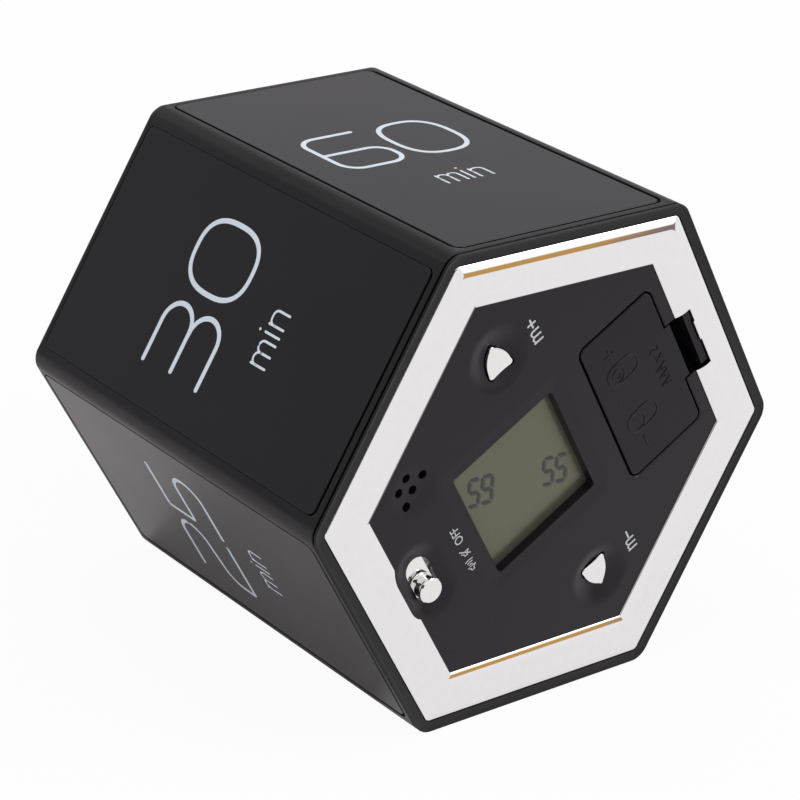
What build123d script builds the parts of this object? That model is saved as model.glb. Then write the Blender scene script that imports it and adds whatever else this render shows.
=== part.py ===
"""Six-sided flip timer with a chrome bezel, an LCD panel, two buttons, a slide switch and a battery door.

Sizes are in millimetres. The pieces are modelled in the panel's own frame: u runs across the panel
towards the battery door, v runs along the panel's reading direction, and depth is counted inwards from
the shell's front rim.
Each finished piece is then turned so that the side marked 60 is up and the display looks towards -Y.
"""

import math
import os

from build123d import *

# Shell
across_flats = 61.2
shell_length = 60.0
shell_wall = 2.6
back_wall = 2.0
long_edge_round = 2.4
front_edge_round = 0.9
back_edge_round = 0.6
side_count = 6
side_turn = 360 / side_count

# Number plates
plate_width = 30.9
plate_front = 1.9
plate_back_margin = 1.25
plate_thickness = 0.7
plate_gap = 0.3
plate_corner = 1.0
plate_minutes = {60: 60, 120: 30, 180: 25, 240: 15, 300: 10, 0: 5}

# Chrome bezel
rim_width = 1.4
bezel_gap = 0.1
bezel_width = 5.65
bezel_proud = 0.2
bezel_outer_slope = 1.5
bezel_outer_drop = 0.4
bezel_inner_slope = 0.5
bezel_corner = 1.2
bezel_edge_blend = 0.25
bezel_seat = 1.7
peg_radius = 0.8
peg_offset = 9.0
peg_fit = 0.05
peg_short = 0.1

# Front panel
panel_face = 0.4
panel_plate = 1.8
panel_fit = 0.05
flange_thickness = 1.5
panel_rim_wall = 1.5

# Panel screws into the shell's corners
screw_corners = (90, 210, 330)
boss_radius = 2.2
boss_from_corner = 5.0
boss_length = 12.0
screw_radius = 0.8
screw_clear = 0.3
screw_thread_fit = 0.03
screw_length = 6.5
screw_head_radius = 1.5
screw_head_height = 1.0
screw_head_room = 0.1
head_pocket_radius = 2.0
driver_slot_width = 0.4
driver_slot_depth = 0.5
driver_slot_length = 1.9

# Display
lcd_u = -3.7
lcd_v = 1.05
window_side = 16.35
window_corner = 0.8
window_lip = 1.05
glass_side = 19.0
glass_thickness = 0.9
contact_ledge = 2.0
glass_fit = 0.15
rear_glass_thickness = 0.8
reflector_thickness = 0.15
frame_bar = 2.0
zebra_width = 1.6
zebra_end_gap = 1.0

# Circuit board
board_depth = 6.4
board_thickness = 1.2
board_side_gap = 4.5
board_to_case = 0.65
standoff_from_edge = 4.1
standoff_along_side = {120: 2.0, 240: -2.0, 180: -9.0}
standoff_radius = 1.8
board_screw_length = 4.2
blob_place = (-3.7, 1.0)
blob_radius = 4.5
blob_height = 1.4
crystal_place = (-13.0, 2.0)
crystal_radius = 1.0
crystal_length = 6.0
sensor_place = (-4.0, -12.0)
sensor_side = 3.0
sensor_height = 1.0
chip_places = ((-10.0, 10.0), (-6.5, 12.0), (-2.0, 12.0), (2.0, 12.5), (-10.5, -6.5), (1.5, -5.5))
chip_length = 2.0
chip_width = 1.25
chip_height = 0.7

# Push buttons
button_from_corner = 7.97
buttons_v_shift = -0.25
button_u = -0.1
button_width = 4.3
button_height = 4.4
button_base_dip = 0.12
button_side_bulge = 0.42
button_base_round = 0.4
button_tip_round = 0.6
button_fit = 0.15
button_top_round = 0.25
button_flange_radius = 3.0
button_flange_gap = 0.1
button_flange_thickness = 1.0
button_travel = 0.5
button_dish_radius = 3.75
button_dish_depth = 0.8
tact_side = 4.5
tact_clear = 0.2
plunger_radius = 1.1
plunger_fit = 0.08
plunger_engage = 0.6
tact_floor = 0.5

# Slide switch
switch_from_edge = 2.7
switch_v = 0.45
switch_travel = 3.2
switch_dish_half_width = 3.0
switch_dish_half_run = 2.1
switch_dish_depth = 0.9
knob_radius = 1.6
knob_fit = 0.1
knob_proud = 0.25
knob_top_round = 0.3
cover_depth = 1.2
cover_width = 4.0
cover_overlap = 0.25
cover_thickness = 0.6
cover_fit = 0.08
hub_side = 2.6
hub_height = 0.9
stem_side = 1.4
stem_fit = 0.05
stem_top_gap = 0.1
switch_case_width = 4.4
switch_case_length = 10.0
switch_case_height = 2.9
switch_case_wall = 0.5
slider_clear = 0.1

# Sounder
sound_u = -16.8
sound_v = 12.5
sound_dish_radius = 2.95
sound_dish_depth = 0.4
sound_hole_radius = 0.5
sound_ring_radius = 2.1
sound_ring_angles = (30, 90, 150, 210)
buzzer_radius = 4.0
buzzer_height = 3.0
buzzer_wall = 0.6
buzzer_port_radius = 1.2
buzzer_disc_thickness = 0.2
buzzer_disc_seat = 0.8

# Battery door
door_from_edge = 7.75
door_v = -0.05
door_width = 11.9
door_length = 21.7
door_corner = 1.0
door_gap = 0.2
door_thickness = 1.4
tongue_reach = 0.9
tongue_width = 8.5
hook_v = 7.0
hook_width = 3.0
hook_reach = 1.4
hook_thickness = 0.8
hook_gap = 0.15
hook_root = 1.4

# Door latch
latch_slot = 1.9
grip_thickness = 1.1
grip_width = 8.4
grip_room = 0.25
grip_step_width = 3.2
grip_step = 0.2
latch_leg_depth = 3.1
latch_leg_foot = 0.7
latch_spring = 0.6
latch_hinge_gap = 0.1

# Cells and battery bay
cell_radius = 5.25
cell_cap_radius = 1.9
cell_cap_height = 1.0
cell_edge_round = 0.4
cell_pitch = 10.7
cell_front = 4.6
cell_side_gap = 0.3
case_wall = 1.2
case_back_room = 4.0
case_mouth = 3.9
case_ear_from_wall = 2.4
case_ear_radius = 2.3
case_ear_thickness = 1.5
case_screw_length = 3.0
latch_case_gap = 0.5
contact_thickness = 0.3
contact_width = 4.0
contact_half_foot = 3.0
contact_half_top = 1.2
contact_gap = 0.15
rear_contact_room = 3.7
tail_width = 2.0
tail_length = 3.2
tail_fit = 0.15
tail_from_middle = 3.2
lead_radius = 0.55
lead_from_case = 1.4
lead_run = 3.0
lead_board_v = 9.0
lead_down = 20.0
lead_bend = 2.5
lead_from_tail_end = 0.9

# Places worked out from the sizes above
apothem = across_flats / 2
overall_length = shell_length + bezel_proud
rim_y = bezel_proud - overall_length / 2
inner_apothem = apothem - shell_wall
rebate_apothem = apothem - rim_width
bezel_apothem = rebate_apothem - bezel_gap
bezel_inner = bezel_apothem - bezel_width
bezel_top = -bezel_proud
bezel_edge = bezel_top + bezel_outer_drop
panel_apothem = bezel_inner - panel_fit
panel_corner = panel_apothem / math.cos(math.radians(side_turn / 2))
panel_back = panel_face + panel_plate
flange_apothem = rebate_apothem - bezel_gap
flange_back = bezel_seat + flange_thickness
pocket_apothem = panel_apothem - panel_rim_wall
boss_reach = apothem / math.cos(math.radians(side_turn / 2)) - boss_from_corner
peg_apothem = bezel_apothem - bezel_width / 2
glass_front = panel_face + window_lip
rear_glass_front = glass_front + glass_thickness
reflector_front = rear_glass_front + rear_glass_thickness
support_front = reflector_front + reflector_thickness
board_apothem = inner_apothem - board_side_gap
board_back = board_depth + board_thickness
button_v = panel_corner - button_from_corner
flange_top = panel_back + button_flange_gap
flange_bottom = flange_top + button_flange_thickness
tact_top = flange_bottom + button_travel + tact_clear
switch_u = switch_from_edge - panel_apothem
knob_v = switch_v - switch_travel / 2
cover_front = panel_face + cover_depth
cover_back = cover_front + cover_thickness
slot_radius = knob_radius + knob_fit
slot_half_run = switch_travel / 2
cover_half_length = slot_half_run + slot_radius + cover_overlap + switch_travel / 2
hub_back = cover_back + hub_height
switch_case_top = board_depth - switch_case_height
buzzer_top = board_depth - buzzer_height
door_u = panel_apothem - door_from_edge
door_inner_u = door_u - door_width / 2
door_outer_u = door_u + door_width / 2
door_back = panel_face + door_thickness
tongue_u = door_outer_u + tongue_reach
grip_u = tongue_u + latch_slot
grip_outer_u = grip_u + grip_thickness
notch_u = grip_outer_u + grip_room
latch_foot_depth = panel_face + latch_leg_depth
web_front = latch_foot_depth + latch_hinge_gap
web_back = web_front + latch_spring
web_outer_u = grip_u + latch_leg_foot
hook_front = panel_back + hook_gap
hook_back = hook_front + hook_thickness
cell_u = door_u
case_back = shell_length - back_wall - case_back_room
case_inner_back = case_back - case_wall
cell_length = case_inner_back - rear_contact_room - cell_front
cell_back = cell_front + cell_length
case_u_low = cell_u - cell_radius - cell_side_gap
case_u_high = cell_u + cell_radius + cell_side_gap
case_v_half = cell_pitch / 2 + cell_radius + cell_side_gap
case_ear_u = cell_u
ear_v = case_v_half + case_wall + case_ear_from_wall
latch_cut_depth = web_back + latch_case_gap
tail_u = cell_u - tail_from_middle
tail_end = case_inner_back + tail_length
lead_u = case_u_low - case_wall - lead_from_case
lead_board_u = lead_u - lead_run


def hexagon(half_flat, corner=0.0):
    """Six-sided profile given by half its width across flats, one flat square to u."""
    outline = RegularPolygon(half_flat, side_count, major_radius=False, rotation=side_turn / 2)
    if corner > 0:
        outline = fillet(outline.vertices(), corner)
    return outline


def slab(profile, start, end):
    """Solid of a flat profile between two depths below the rim."""
    return extrude(Pos(0, 0, -end) * profile, amount=end - start)


def block(u_low, u_high, v_low, v_high, start, end):
    """Rectangular block between two depths."""
    profile = Rectangle(u_high - u_low, v_high - v_low)
    return slab(Pos((u_low + u_high) / 2, (v_low + v_high) / 2) * profile, start, end)


def post(u, v, radius, start, end):
    """Round post between two depths."""
    return slab(Pos(u, v) * Circle(radius), start, end)


def polar(radius, degrees):
    """Point at a radius and an angle in the panel's plane."""
    angle = math.radians(degrees)
    return radius * math.cos(angle), radius * math.sin(angle)


def side_plane(degrees):
    """Plane on one side of the prism, x along its front edge and y towards the back."""
    c, s = polar(1, degrees)
    return Plane(origin=(apothem * c, apothem * s, 0), x_dir=(s, -c, 0), z_dir=(c, s, 0))


def side_rectangle(grow):
    """Outline of a number plate, or of its recess when grown."""
    length = shell_length - plate_front - plate_back_margin
    middle = plate_front + length / 2
    return Pos(0, middle) * RectangleRounded(plate_width + 2 * grow, length + 2 * grow, plate_corner + grow)


def screw(u, v, seat, length, facing):
    """Pan-head screw; facing is 1 for a head towards the front and -1 for a head towards the back."""
    head_end = seat - facing * screw_head_height
    tip = seat + facing * length
    head = post(u, v, screw_head_radius, min(seat, head_end), max(seat, head_end))
    shank = post(u, v, screw_radius - screw_thread_fit, min(seat, tip), max(seat, tip))
    slot_floor = head_end + facing * driver_slot_depth
    low, high = min(head_end, slot_floor), max(head_end, slot_floor)
    bar = Rectangle(driver_slot_length, driver_slot_width)
    cross = bar + Rotation(0, 0, 90) * bar
    return head + shank - slab(Pos(u, v) * cross, low, high)


def dish(u, v, radius, depth):
    """Round shallow hollow sunk into the panel's face."""
    ball = (radius**2 + depth**2) / (2 * depth)
    return Pos(u, v, -panel_face - depth + ball) * Sphere(ball)


def switch_dish():
    """Long shallow hollow around the slide switch, which also bites into the bezel."""
    half, depth = switch_dish_half_width, switch_dish_depth
    ball = (half**2 + depth**2) / (2 * depth)
    height = -panel_face - depth + ball
    run = Rotation(90, 0, 0) * Cylinder(ball, 2 * switch_dish_half_run)
    shape = Pos(switch_u, switch_v, height) * run
    for end in (-1, 1):
        shape += Pos(switch_u, switch_v + end * switch_dish_half_run, height) * Sphere(ball)
    return shape


def button_outline(direction, grow=0.0):
    """Rounded triangle with its base towards the panel's middle; direction is 1 for plus and -1 for minus."""
    half = button_width / 2 + grow
    foot = -button_height / 2 - grow
    tip = button_height / 2 + grow
    base = ThreePointArc((-half, foot), (0, foot + button_base_dip), (half, foot))
    sides = []
    for hand in (-1, 1):
        bulge = (hand * (half / 2 + button_side_bulge), button_side_bulge)
        sides.append(ThreePointArc((hand * half, foot), bulge, (0, tip)))
    outline = make_face([base, *sides])
    corners = outline.vertices().sort_by(Axis.Y)
    outline = fillet(corners[-1:], button_tip_round + grow)
    outline = fillet(outline.vertices().sort_by(Axis.Y)[:2], button_base_round + grow)
    turned = Rotation(0, 0, 0 if direction > 0 else 180) * outline
    return Pos(button_u, buttons_v_shift + direction * button_v) * turned


def switch_slot(grow):
    """Obround outline of the switch's slot."""
    run = 2 * slot_half_run + 2 * slot_radius + 2 * grow
    return Pos(switch_u, switch_v) * Rotation(0, 0, 90) * SlotOverall(run, 2 * slot_radius + 2 * grow)


def door_outline():
    """Outline of the battery door with the tongue that carries its latch."""
    plate = Pos(door_u, door_v) * RectangleRounded(door_width, door_length, door_corner)
    root = door_outer_u - door_corner
    tongue = Pos((root + tongue_u) / 2, door_v) * Rectangle(tongue_u - root, tongue_width)
    return plate + tongue


def door_opening():
    """Outline of the opening for the door and its latch."""
    plate = Pos(door_u, door_v) * RectangleRounded(
        door_width + 2 * door_gap, door_length + 2 * door_gap, door_corner + door_gap
    )
    return plate + latch_notch()


def latch_notch():
    """Outline of the notch in the panel and the bezel that the latch stands in."""
    width = max(tongue_width, grip_width) + 2 * door_gap
    return Pos((door_u + notch_u) / 2, door_v) * Rectangle(notch_u - door_u, width)


def make_main_shell():
    """Six-sided cup with plate recesses, a stepped front rim and screw bosses in its corners."""
    shell = slab(hexagon(apothem, long_edge_round), 0, shell_length)
    shell = fillet(shell.faces().sort_by(Axis.Z)[-1].edges(), front_edge_round)
    shell = fillet(shell.faces().sort_by(Axis.Z)[0].edges(), back_edge_round)
    hollow = slab(hexagon(inner_apothem), 0, shell_length - back_wall)
    for corner in screw_corners:
        u, v = polar(boss_reach, corner)
        hollow -= post(u, v, boss_radius, flange_back, flange_back + boss_length)
    shell -= hollow
    shell -= slab(hexagon(rebate_apothem), -bezel_proud, flange_back)
    for corner in screw_corners:
        u, v = polar(boss_reach, corner)
        shell -= post(u, v, screw_radius, flange_back, flange_back + screw_length)
    recess = side_rectangle(plate_gap)
    for degrees in plate_minutes:
        shell -= extrude(side_plane(degrees) * recess, amount=-plate_thickness)
    return shell


def make_number_plate(degrees):
    """Flat plate let into one side of the shell."""
    return extrude(side_plane(degrees) * side_rectangle(0), amount=-plate_thickness)


def make_chrome_bezel():
    """Six-sided ring with sloped edges, pockets over the screw heads and pegs into the panel."""
    top_outer = bezel_apothem - bezel_outer_slope
    ring = slab(hexagon(bezel_apothem, bezel_corner), bezel_edge, bezel_seat)
    low = Pos(0, 0, -bezel_edge) * hexagon(bezel_apothem, bezel_corner)
    high = Pos(0, 0, -bezel_top) * hexagon(top_outer, bezel_corner)
    ring += loft([low, high], ruled=True)
    ring -= slab(hexagon(bezel_inner), bezel_top, bezel_seat)
    mouth_low = Pos(0, 0, -panel_face) * hexagon(bezel_inner)
    mouth_high = Pos(0, 0, -bezel_top) * hexagon(bezel_inner + bezel_inner_slope)
    ring -= loft([mouth_low, mouth_high], ruled=True)
    ring = fillet(ring.faces().sort_by(Axis.Z)[-1].edges(), bezel_edge_blend)
    for corner in screw_corners:
        u, v = polar(boss_reach, corner)
        pocket_roof = bezel_seat - screw_head_height - screw_head_room
        ring -= post(u, v, head_pocket_radius, pocket_roof, bezel_seat)
    for u, v in peg_places():
        ring += post(u, v, peg_radius, bezel_seat, flange_back - peg_short)
    ring -= switch_dish()
    ring -= slab(latch_notch(), bezel_top - bezel_proud, bezel_seat)
    return ring


def peg_places():
    """Middle of the bezel's peg on each side."""
    places = []
    for degrees in plate_minutes:
        c, s = polar(1, degrees)
        places.append((peg_apothem * c - peg_offset * s, peg_apothem * s + peg_offset * c))
    return places


def make_front_panel():
    """Display panel: raised plate, flange under the bezel, window, dishes, holes and standoffs."""
    panel = slab(hexagon(panel_apothem), panel_face, flange_back)
    panel += slab(hexagon(flange_apothem, bezel_corner), bezel_seat, flange_back)
    panel -= slab(hexagon(pocket_apothem), panel_back, flange_back)
    for u, v in standoff_places():
        panel += post(u, v, standoff_radius, panel_back, board_depth)
    for hand in (-1, 1):
        panel += post(case_ear_u, door_v + hand * ear_v, case_ear_radius, panel_back, case_mouth)
    window = Pos(lcd_u, lcd_v) * RectangleRounded(window_side, window_side, window_corner)
    panel -= slab(window, panel_face, glass_front)
    panel -= slab(glass_outline(glass_fit), glass_front, flange_back)
    for direction in (-1, 1):
        u, v = button_u, buttons_v_shift + direction * button_v
        panel -= dish(u, v, button_dish_radius, button_dish_depth)
        panel -= slab(button_outline(direction, button_fit), panel_face, panel_back)
        panel -= post(u, v, button_flange_radius + button_fit, panel_back, flange_back)
    panel -= dish(sound_u, sound_v, sound_dish_radius, sound_dish_depth)
    for u, v in sound_holes():
        panel -= post(u, v, sound_hole_radius, panel_face, flange_back)
    panel -= switch_dish()
    panel -= slab(switch_slot(0), panel_face, cover_front)
    cover_run = 2 * cover_half_length + switch_travel + 2 * cover_fit
    cover_room = Pos(switch_u, switch_v) * Rectangle(cover_width + 2 * cover_fit, cover_run)
    panel -= slab(cover_room, cover_front - cover_fit, flange_back)
    panel -= slab(door_opening(), panel_face - bezel_proud, flange_back)
    for corner in screw_corners:
        u, v = polar(boss_reach, corner)
        panel -= post(u, v, screw_radius + screw_clear, bezel_seat, flange_back)
    for u, v in peg_places():
        panel -= post(u, v, peg_radius + peg_fit, bezel_seat, flange_back)
    for u, v in standoff_places():
        panel -= post(u, v, screw_radius, board_back - board_screw_length, board_depth)
    for hand in (-1, 1):
        floor = case_mouth + case_ear_thickness - case_screw_length
        panel -= post(case_ear_u, door_v + hand * ear_v, screw_radius, floor, case_mouth)
    return panel


def standoff_places():
    """Middles of the board's standoffs, each set in from one edge of the board."""
    reach = board_apothem - standoff_from_edge
    places = []
    for degrees, along in standoff_along_side.items():
        c, s = polar(1, degrees)
        places.append((reach * c + along * s, reach * s - along * c))
    return places


def sound_holes():
    """Middles of the sound holes: one in the centre and some on a ring around it."""
    places = [(sound_u, sound_v)]
    for degrees in sound_ring_angles:
        du, dv = polar(sound_ring_radius, degrees)
        places.append((sound_u + du, sound_v + dv))
    return places


def make_panel_screws():
    """Screws that hold the panel to the shell, hidden by the bezel."""
    screws = []
    for corner in screw_corners:
        u, v = polar(boss_reach, corner)
        screws.append(screw(u, v, bezel_seat, flange_thickness + screw_length, 1))
    return screws


def glass_outline(grow):
    """Outline of the display's front glass with its contact ledge."""
    length = glass_side + contact_ledge
    return Pos(lcd_u, lcd_v + contact_ledge / 2) * Rectangle(glass_side + 2 * grow, length + 2 * grow)


def make_lcd_front_glass():
    """Front glass of the display, longer than the rear glass by its contact ledge."""
    return slab(glass_outline(0), glass_front, rear_glass_front)


def make_lcd_rear_glass():
    """Rear glass of the display."""
    return slab(Pos(lcd_u, lcd_v) * Rectangle(glass_side, glass_side), rear_glass_front, reflector_front)


def make_lcd_reflector():
    """Reflector foil behind the rear glass."""
    return slab(Pos(lcd_u, lcd_v) * Rectangle(glass_side, glass_side), reflector_front, support_front)


def make_lcd_support_frame():
    """Frame between the display and the board."""
    inner = glass_side - 2 * frame_bar
    outline = Pos(lcd_u, lcd_v) * (Rectangle(glass_side, glass_side) - Rectangle(inner, inner))
    return slab(outline, support_front, board_depth)


def make_zebra_strip():
    """Rubber strip that carries the signals from the board to the contact ledge."""
    middle = lcd_v + glass_side / 2 + contact_ledge / 2
    outline = Rectangle(glass_side - 2 * zebra_end_gap, zebra_width)
    return slab(Pos(lcd_u, middle) * outline, rear_glass_front, board_depth)


def make_main_board():
    """Circuit board, cut back beside the battery bay, with its screw holes."""
    edge = case_u_low - case_wall - board_to_case
    board = slab(hexagon(board_apothem), board_depth, board_back)
    board -= block(edge, 2 * board_apothem, -2 * board_apothem, 2 * board_apothem, board_depth, board_back)
    for u, v in standoff_places():
        board -= post(u, v, screw_radius + screw_clear, board_depth, board_back)
    return board


def make_board_screws():
    """Screws that hold the board to the panel's standoffs."""
    return [screw(u, v, board_back, board_screw_length, -1) for u, v in standoff_places()]


def make_controller_blob():
    """Resin blob over the controller chip."""
    ball = (blob_radius**2 + blob_height**2) / (2 * blob_height)
    u, v = blob_place
    dome = Pos(u, v, -board_back + ball - blob_height) * Sphere(ball)
    return dome & post(u, v, 2 * blob_radius, board_back, board_back + 2 * blob_height)


def make_timing_crystal():
    """Clock crystal in its round can, lying on the board."""
    u, v = crystal_place
    lying = Rotation(90, 0, 0) * Cylinder(crystal_radius, crystal_length)
    can = Pos(u, v, -board_back - crystal_radius) * lying
    low, high = v - crystal_length / 2, v + crystal_length / 2
    saddle_top = board_back + crystal_radius
    saddle = block(u - crystal_radius, u + crystal_radius, low, high, board_back, saddle_top)
    return can + saddle


def make_orientation_sensor():
    """Chip that senses which side of the timer is up."""
    u, v = sensor_place
    half = sensor_side / 2
    return block(u - half, u + half, v - half, v + half, board_back, board_back + sensor_height)


def make_chip_parts():
    """Small resistors and capacitors on the board."""
    half_u, half_v = chip_width / 2, chip_length / 2
    end = board_back + chip_height
    return [block(u - half_u, u + half_u, v - half_v, v + half_v, board_back, end) for u, v in chip_places]


def make_button(direction):
    """Chrome push button with the flange that keeps it in the panel."""
    cap = slab(button_outline(direction), panel_face, flange_top)
    cap = fillet(cap.faces().sort_by(Axis.Z)[-1].edges(), button_top_round)
    v = buttons_v_shift + direction * button_v
    return cap + post(button_u, v, button_flange_radius, flange_top, flange_bottom)


def make_tact_switch(direction):
    """Key switch body on the board, hollow for its plunger."""
    v = buttons_v_shift + direction * button_v
    half = tact_side / 2
    body = block(button_u - half, button_u + half, v - half, v + half, tact_top, board_depth)
    return body - post(button_u, v, plunger_radius + plunger_fit, tact_top, board_depth - tact_floor)


def make_tact_plunger(direction):
    """Plunger of a key switch, under the button's flange."""
    v = buttons_v_shift + direction * button_v
    return post(button_u, v, plunger_radius, flange_bottom, tact_top + plunger_engage)


def make_mode_knob():
    """Chrome slide knob on the plate that covers the switch's slot."""
    knob = post(switch_u, knob_v, knob_radius, panel_face - knob_proud, cover_front)
    knob = fillet(knob.faces().sort_by(Axis.Z)[-1].edges(), knob_top_round)
    half = cover_width / 2
    low, high = knob_v - cover_half_length, knob_v + cover_half_length
    knob += block(switch_u - half, switch_u + half, low, high, cover_front, cover_back)
    hub = hub_side / 2
    knob += block(switch_u - hub, switch_u + hub, knob_v - hub, knob_v + hub, cover_back, hub_back)
    socket = stem_side / 2 + stem_fit
    knob -= block(switch_u - socket, switch_u + socket, knob_v - socket, knob_v + socket, cover_back, hub_back)
    return knob


def make_mode_switch_slider():
    """Slider of the switch, with the stem that the knob sits on."""
    stem = stem_side / 2
    foot = switch_case_width / 2 - switch_case_wall - slider_clear
    shoulder = switch_case_top + switch_case_wall + slider_clear
    floor = board_depth - switch_case_wall - slider_clear
    top = cover_back + stem_top_gap
    slider = block(switch_u - stem, switch_u + stem, knob_v - stem, knob_v + stem, top, floor)
    return slider + block(switch_u - foot, switch_u + foot, knob_v - foot, knob_v + foot, shoulder, floor)


def make_mode_switch_case():
    """Case of the slide switch on the board, slotted for the stem."""
    half_u, half_v = switch_case_width / 2, switch_case_length / 2
    wall = switch_case_wall
    low, high = switch_v - half_v, switch_v + half_v
    case = block(switch_u - half_u, switch_u + half_u, low, high, switch_case_top, board_depth)
    inner = half_u - wall
    case -= block(
        switch_u - inner, switch_u + inner, low + wall, high - wall, switch_case_top + wall, board_depth - wall
    )
    slot_u = stem_side / 2 + slider_clear
    slot_v = slot_u + switch_travel / 2
    low, high = switch_v - slot_v, switch_v + slot_v
    return case - block(switch_u - slot_u, switch_u + slot_u, low, high, switch_case_top, board_depth - wall)


def make_buzzer_case():
    """Round case of the sounder on the board, with a sound port."""
    case = post(sound_u, sound_v, buzzer_radius, buzzer_top, board_depth)
    inner = buzzer_radius - buzzer_wall
    case -= post(sound_u, sound_v, inner, buzzer_top + buzzer_wall, board_depth)
    return case - post(sound_u, sound_v, buzzer_port_radius, buzzer_top, buzzer_top + buzzer_wall)


def make_buzzer_disc():
    """Sounding disc inside the sounder, held at its rim."""
    seat = buzzer_top + buzzer_disc_seat
    disc = post(sound_u, sound_v, buzzer_radius - buzzer_wall, seat, seat + buzzer_disc_thickness)
    core = buzzer_radius / 2
    return disc + post(sound_u, sound_v, core, seat, board_depth)


def make_battery_door():
    """Door plate with two hooks at its inner edge and the spring arm that carries the latch."""
    door = slab(door_outline(), panel_face, door_back)
    for hand in (-1, 1):
        low = door_v + hand * hook_v - hook_width / 2
        high = low + hook_width
        root = door_inner_u + hook_root
        door += block(door_inner_u, root, low, high, door_back, hook_back)
        door += block(door_inner_u - hook_reach, root, low, high, hook_front, hook_back)
    low, high = door_v - tongue_width / 2, door_v + tongue_width / 2
    door += block(tongue_u - latch_spring, tongue_u, low, high, door_back, web_back)
    door += block(tongue_u - latch_spring, web_outer_u, low, high, web_front, web_back)
    return door


def make_door_latch():
    """Grip of the latch: a leg that leans back from the notch's wall as it goes down."""
    low, high = door_v - grip_width / 2, door_v + grip_width / 2
    profile = Polyline(
        (grip_u, -panel_face),
        (grip_outer_u, -panel_face),
        (web_outer_u, -latch_foot_depth),
        (grip_u, -latch_foot_depth),
        close=True,
    )
    section = Plane(origin=(0, high, 0), x_dir=(1, 0, 0), z_dir=(0, -1, 0)) * make_face(profile)
    latch = extrude(section, amount=high - low)
    step = grip_step_width / 2
    return latch - block(
        grip_outer_u - grip_step, grip_outer_u, door_v - step, door_v + step, panel_face, latch_foot_depth
    )


def contact_strip(v, foot_depth, top_depth):
    """Bowed strip of spring metal from its foot to the end of a cell."""
    rise = math.copysign(contact_thickness, top_depth - foot_depth)
    outer = [
        (v - contact_half_foot, -foot_depth),
        (v - contact_half_top, -top_depth),
        (v + contact_half_top, -top_depth),
        (v + contact_half_foot, -foot_depth),
    ]
    inner = [
        (v + contact_half_foot - contact_thickness, -foot_depth),
        (v + contact_half_top - contact_thickness / 2, -top_depth + rise),
        (v - contact_half_top + contact_thickness / 2, -top_depth + rise),
        (v - contact_half_foot + contact_thickness, -foot_depth),
    ]
    face = make_face(Polyline(*outer, *inner, close=True))
    section = Plane(origin=(cell_u - contact_width / 2, 0, 0), x_dir=(0, 1, 0), z_dir=(1, 0, 0)) * face
    return extrude(section, amount=contact_width)


def make_door_contact():
    """Bridge contact on the door that joins the two cells."""
    half_u = contact_width / 2
    half_v = cell_pitch / 2 + contact_half_foot
    low, high = door_v - half_v, door_v + half_v
    foot = door_back + contact_thickness
    bridge = block(cell_u - half_u, cell_u + half_u, low, high, door_back, foot)
    for hand in (-1, 1):
        bridge += contact_strip(door_v + hand * cell_pitch / 2, foot, cell_front - contact_gap)
    return bridge


def make_rear_contact(hand):
    """Contact at the back of the bay with its solder tail."""
    v = door_v + hand * cell_pitch / 2
    foot = case_inner_back - contact_thickness
    half_u = tail_from_middle
    contact = block(
        cell_u - half_u, cell_u + half_u, v - contact_half_foot, v + contact_half_foot, foot, case_inner_back
    )
    contact += contact_strip(v, foot, cell_back + contact_gap)
    half_tail = tail_width / 2
    return contact + block(tail_u, tail_u + contact_thickness, v - half_tail, v + half_tail, foot, tail_end)


def make_cell(hand):
    """AAA cell; the upper one has its cap towards the door and the lower one its cap towards the back."""
    v = door_v + hand * cell_pitch / 2
    if hand > 0:
        body = post(cell_u, v, cell_radius, cell_front + cell_cap_height, cell_back)
        cap = post(cell_u, v, cell_cap_radius, cell_front, cell_front + cell_cap_height)
    else:
        body = post(cell_u, v, cell_radius, cell_front, cell_back - cell_cap_height)
        cap = post(cell_u, v, cell_cap_radius, cell_back - cell_cap_height, cell_back)
    body = fillet(body.edges().filter_by(GeomType.CIRCLE), cell_edge_round)
    return body + cap


def make_battery_case():
    """Open-fronted bay for two cells, with screw ears and room for the latch."""
    wall = case_wall
    outer_v = case_v_half + wall
    case = block(
        case_u_low - wall, case_u_high + wall, door_v - outer_v, door_v + outer_v, case_mouth, case_back
    )
    for hand in (-1, 1):
        ear_end = case_mouth + case_ear_thickness
        v = door_v + hand * ear_v
        case += post(case_ear_u, v, case_ear_radius, case_mouth, ear_end)
        near, far = sorted((door_v + hand * outer_v, v))
        case += block(
            case_ear_u - case_ear_radius, case_ear_u + case_ear_radius, near, far, case_mouth, ear_end
        )
        case -= post(case_ear_u, v, screw_radius + screw_clear, case_mouth, ear_end)
    low, high = door_v - case_v_half, door_v + case_v_half
    case -= block(case_u_low, case_u_high, low, high, case_mouth, case_inner_back)
    half = grip_width / 2 + latch_case_gap
    case -= block(case_u_high, notch_u, door_v - half, door_v + half, case_mouth, latch_cut_depth)
    for hand in (-1, 1):
        v = door_v + hand * cell_pitch / 2
        half_tail = tail_width / 2 + tail_fit
        case -= block(
            tail_u - tail_fit,
            tail_u + contact_thickness + tail_fit,
            v - half_tail,
            v + half_tail,
            case_inner_back,
            case_back,
        )
    return case


def make_case_screws():
    """Screws that hold the battery bay to the panel."""
    seat = case_mouth + case_ear_thickness
    return [screw(case_ear_u, door_v + hand * ear_v, seat, case_screw_length, -1) for hand in (-1, 1)]


def make_lead(hand):
    """Insulated lead from a contact's tail along the bay to the board."""
    v = door_v + hand * cell_pitch / 2
    start = tail_end - lead_from_tail_end
    route = FilletPolyline(
        (tail_u, v, -start),
        (lead_u, v, -start),
        (lead_u, v, -lead_down),
        (lead_board_u, hand * lead_board_v, -lead_down + lead_bend),
        (lead_board_u, hand * lead_board_v, -board_back),
        radius=lead_bend / 2,
    )
    end = Plane(origin=route @ 0, z_dir=route % 0) * Circle(lead_radius)
    return sweep(end, path=route)


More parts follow.
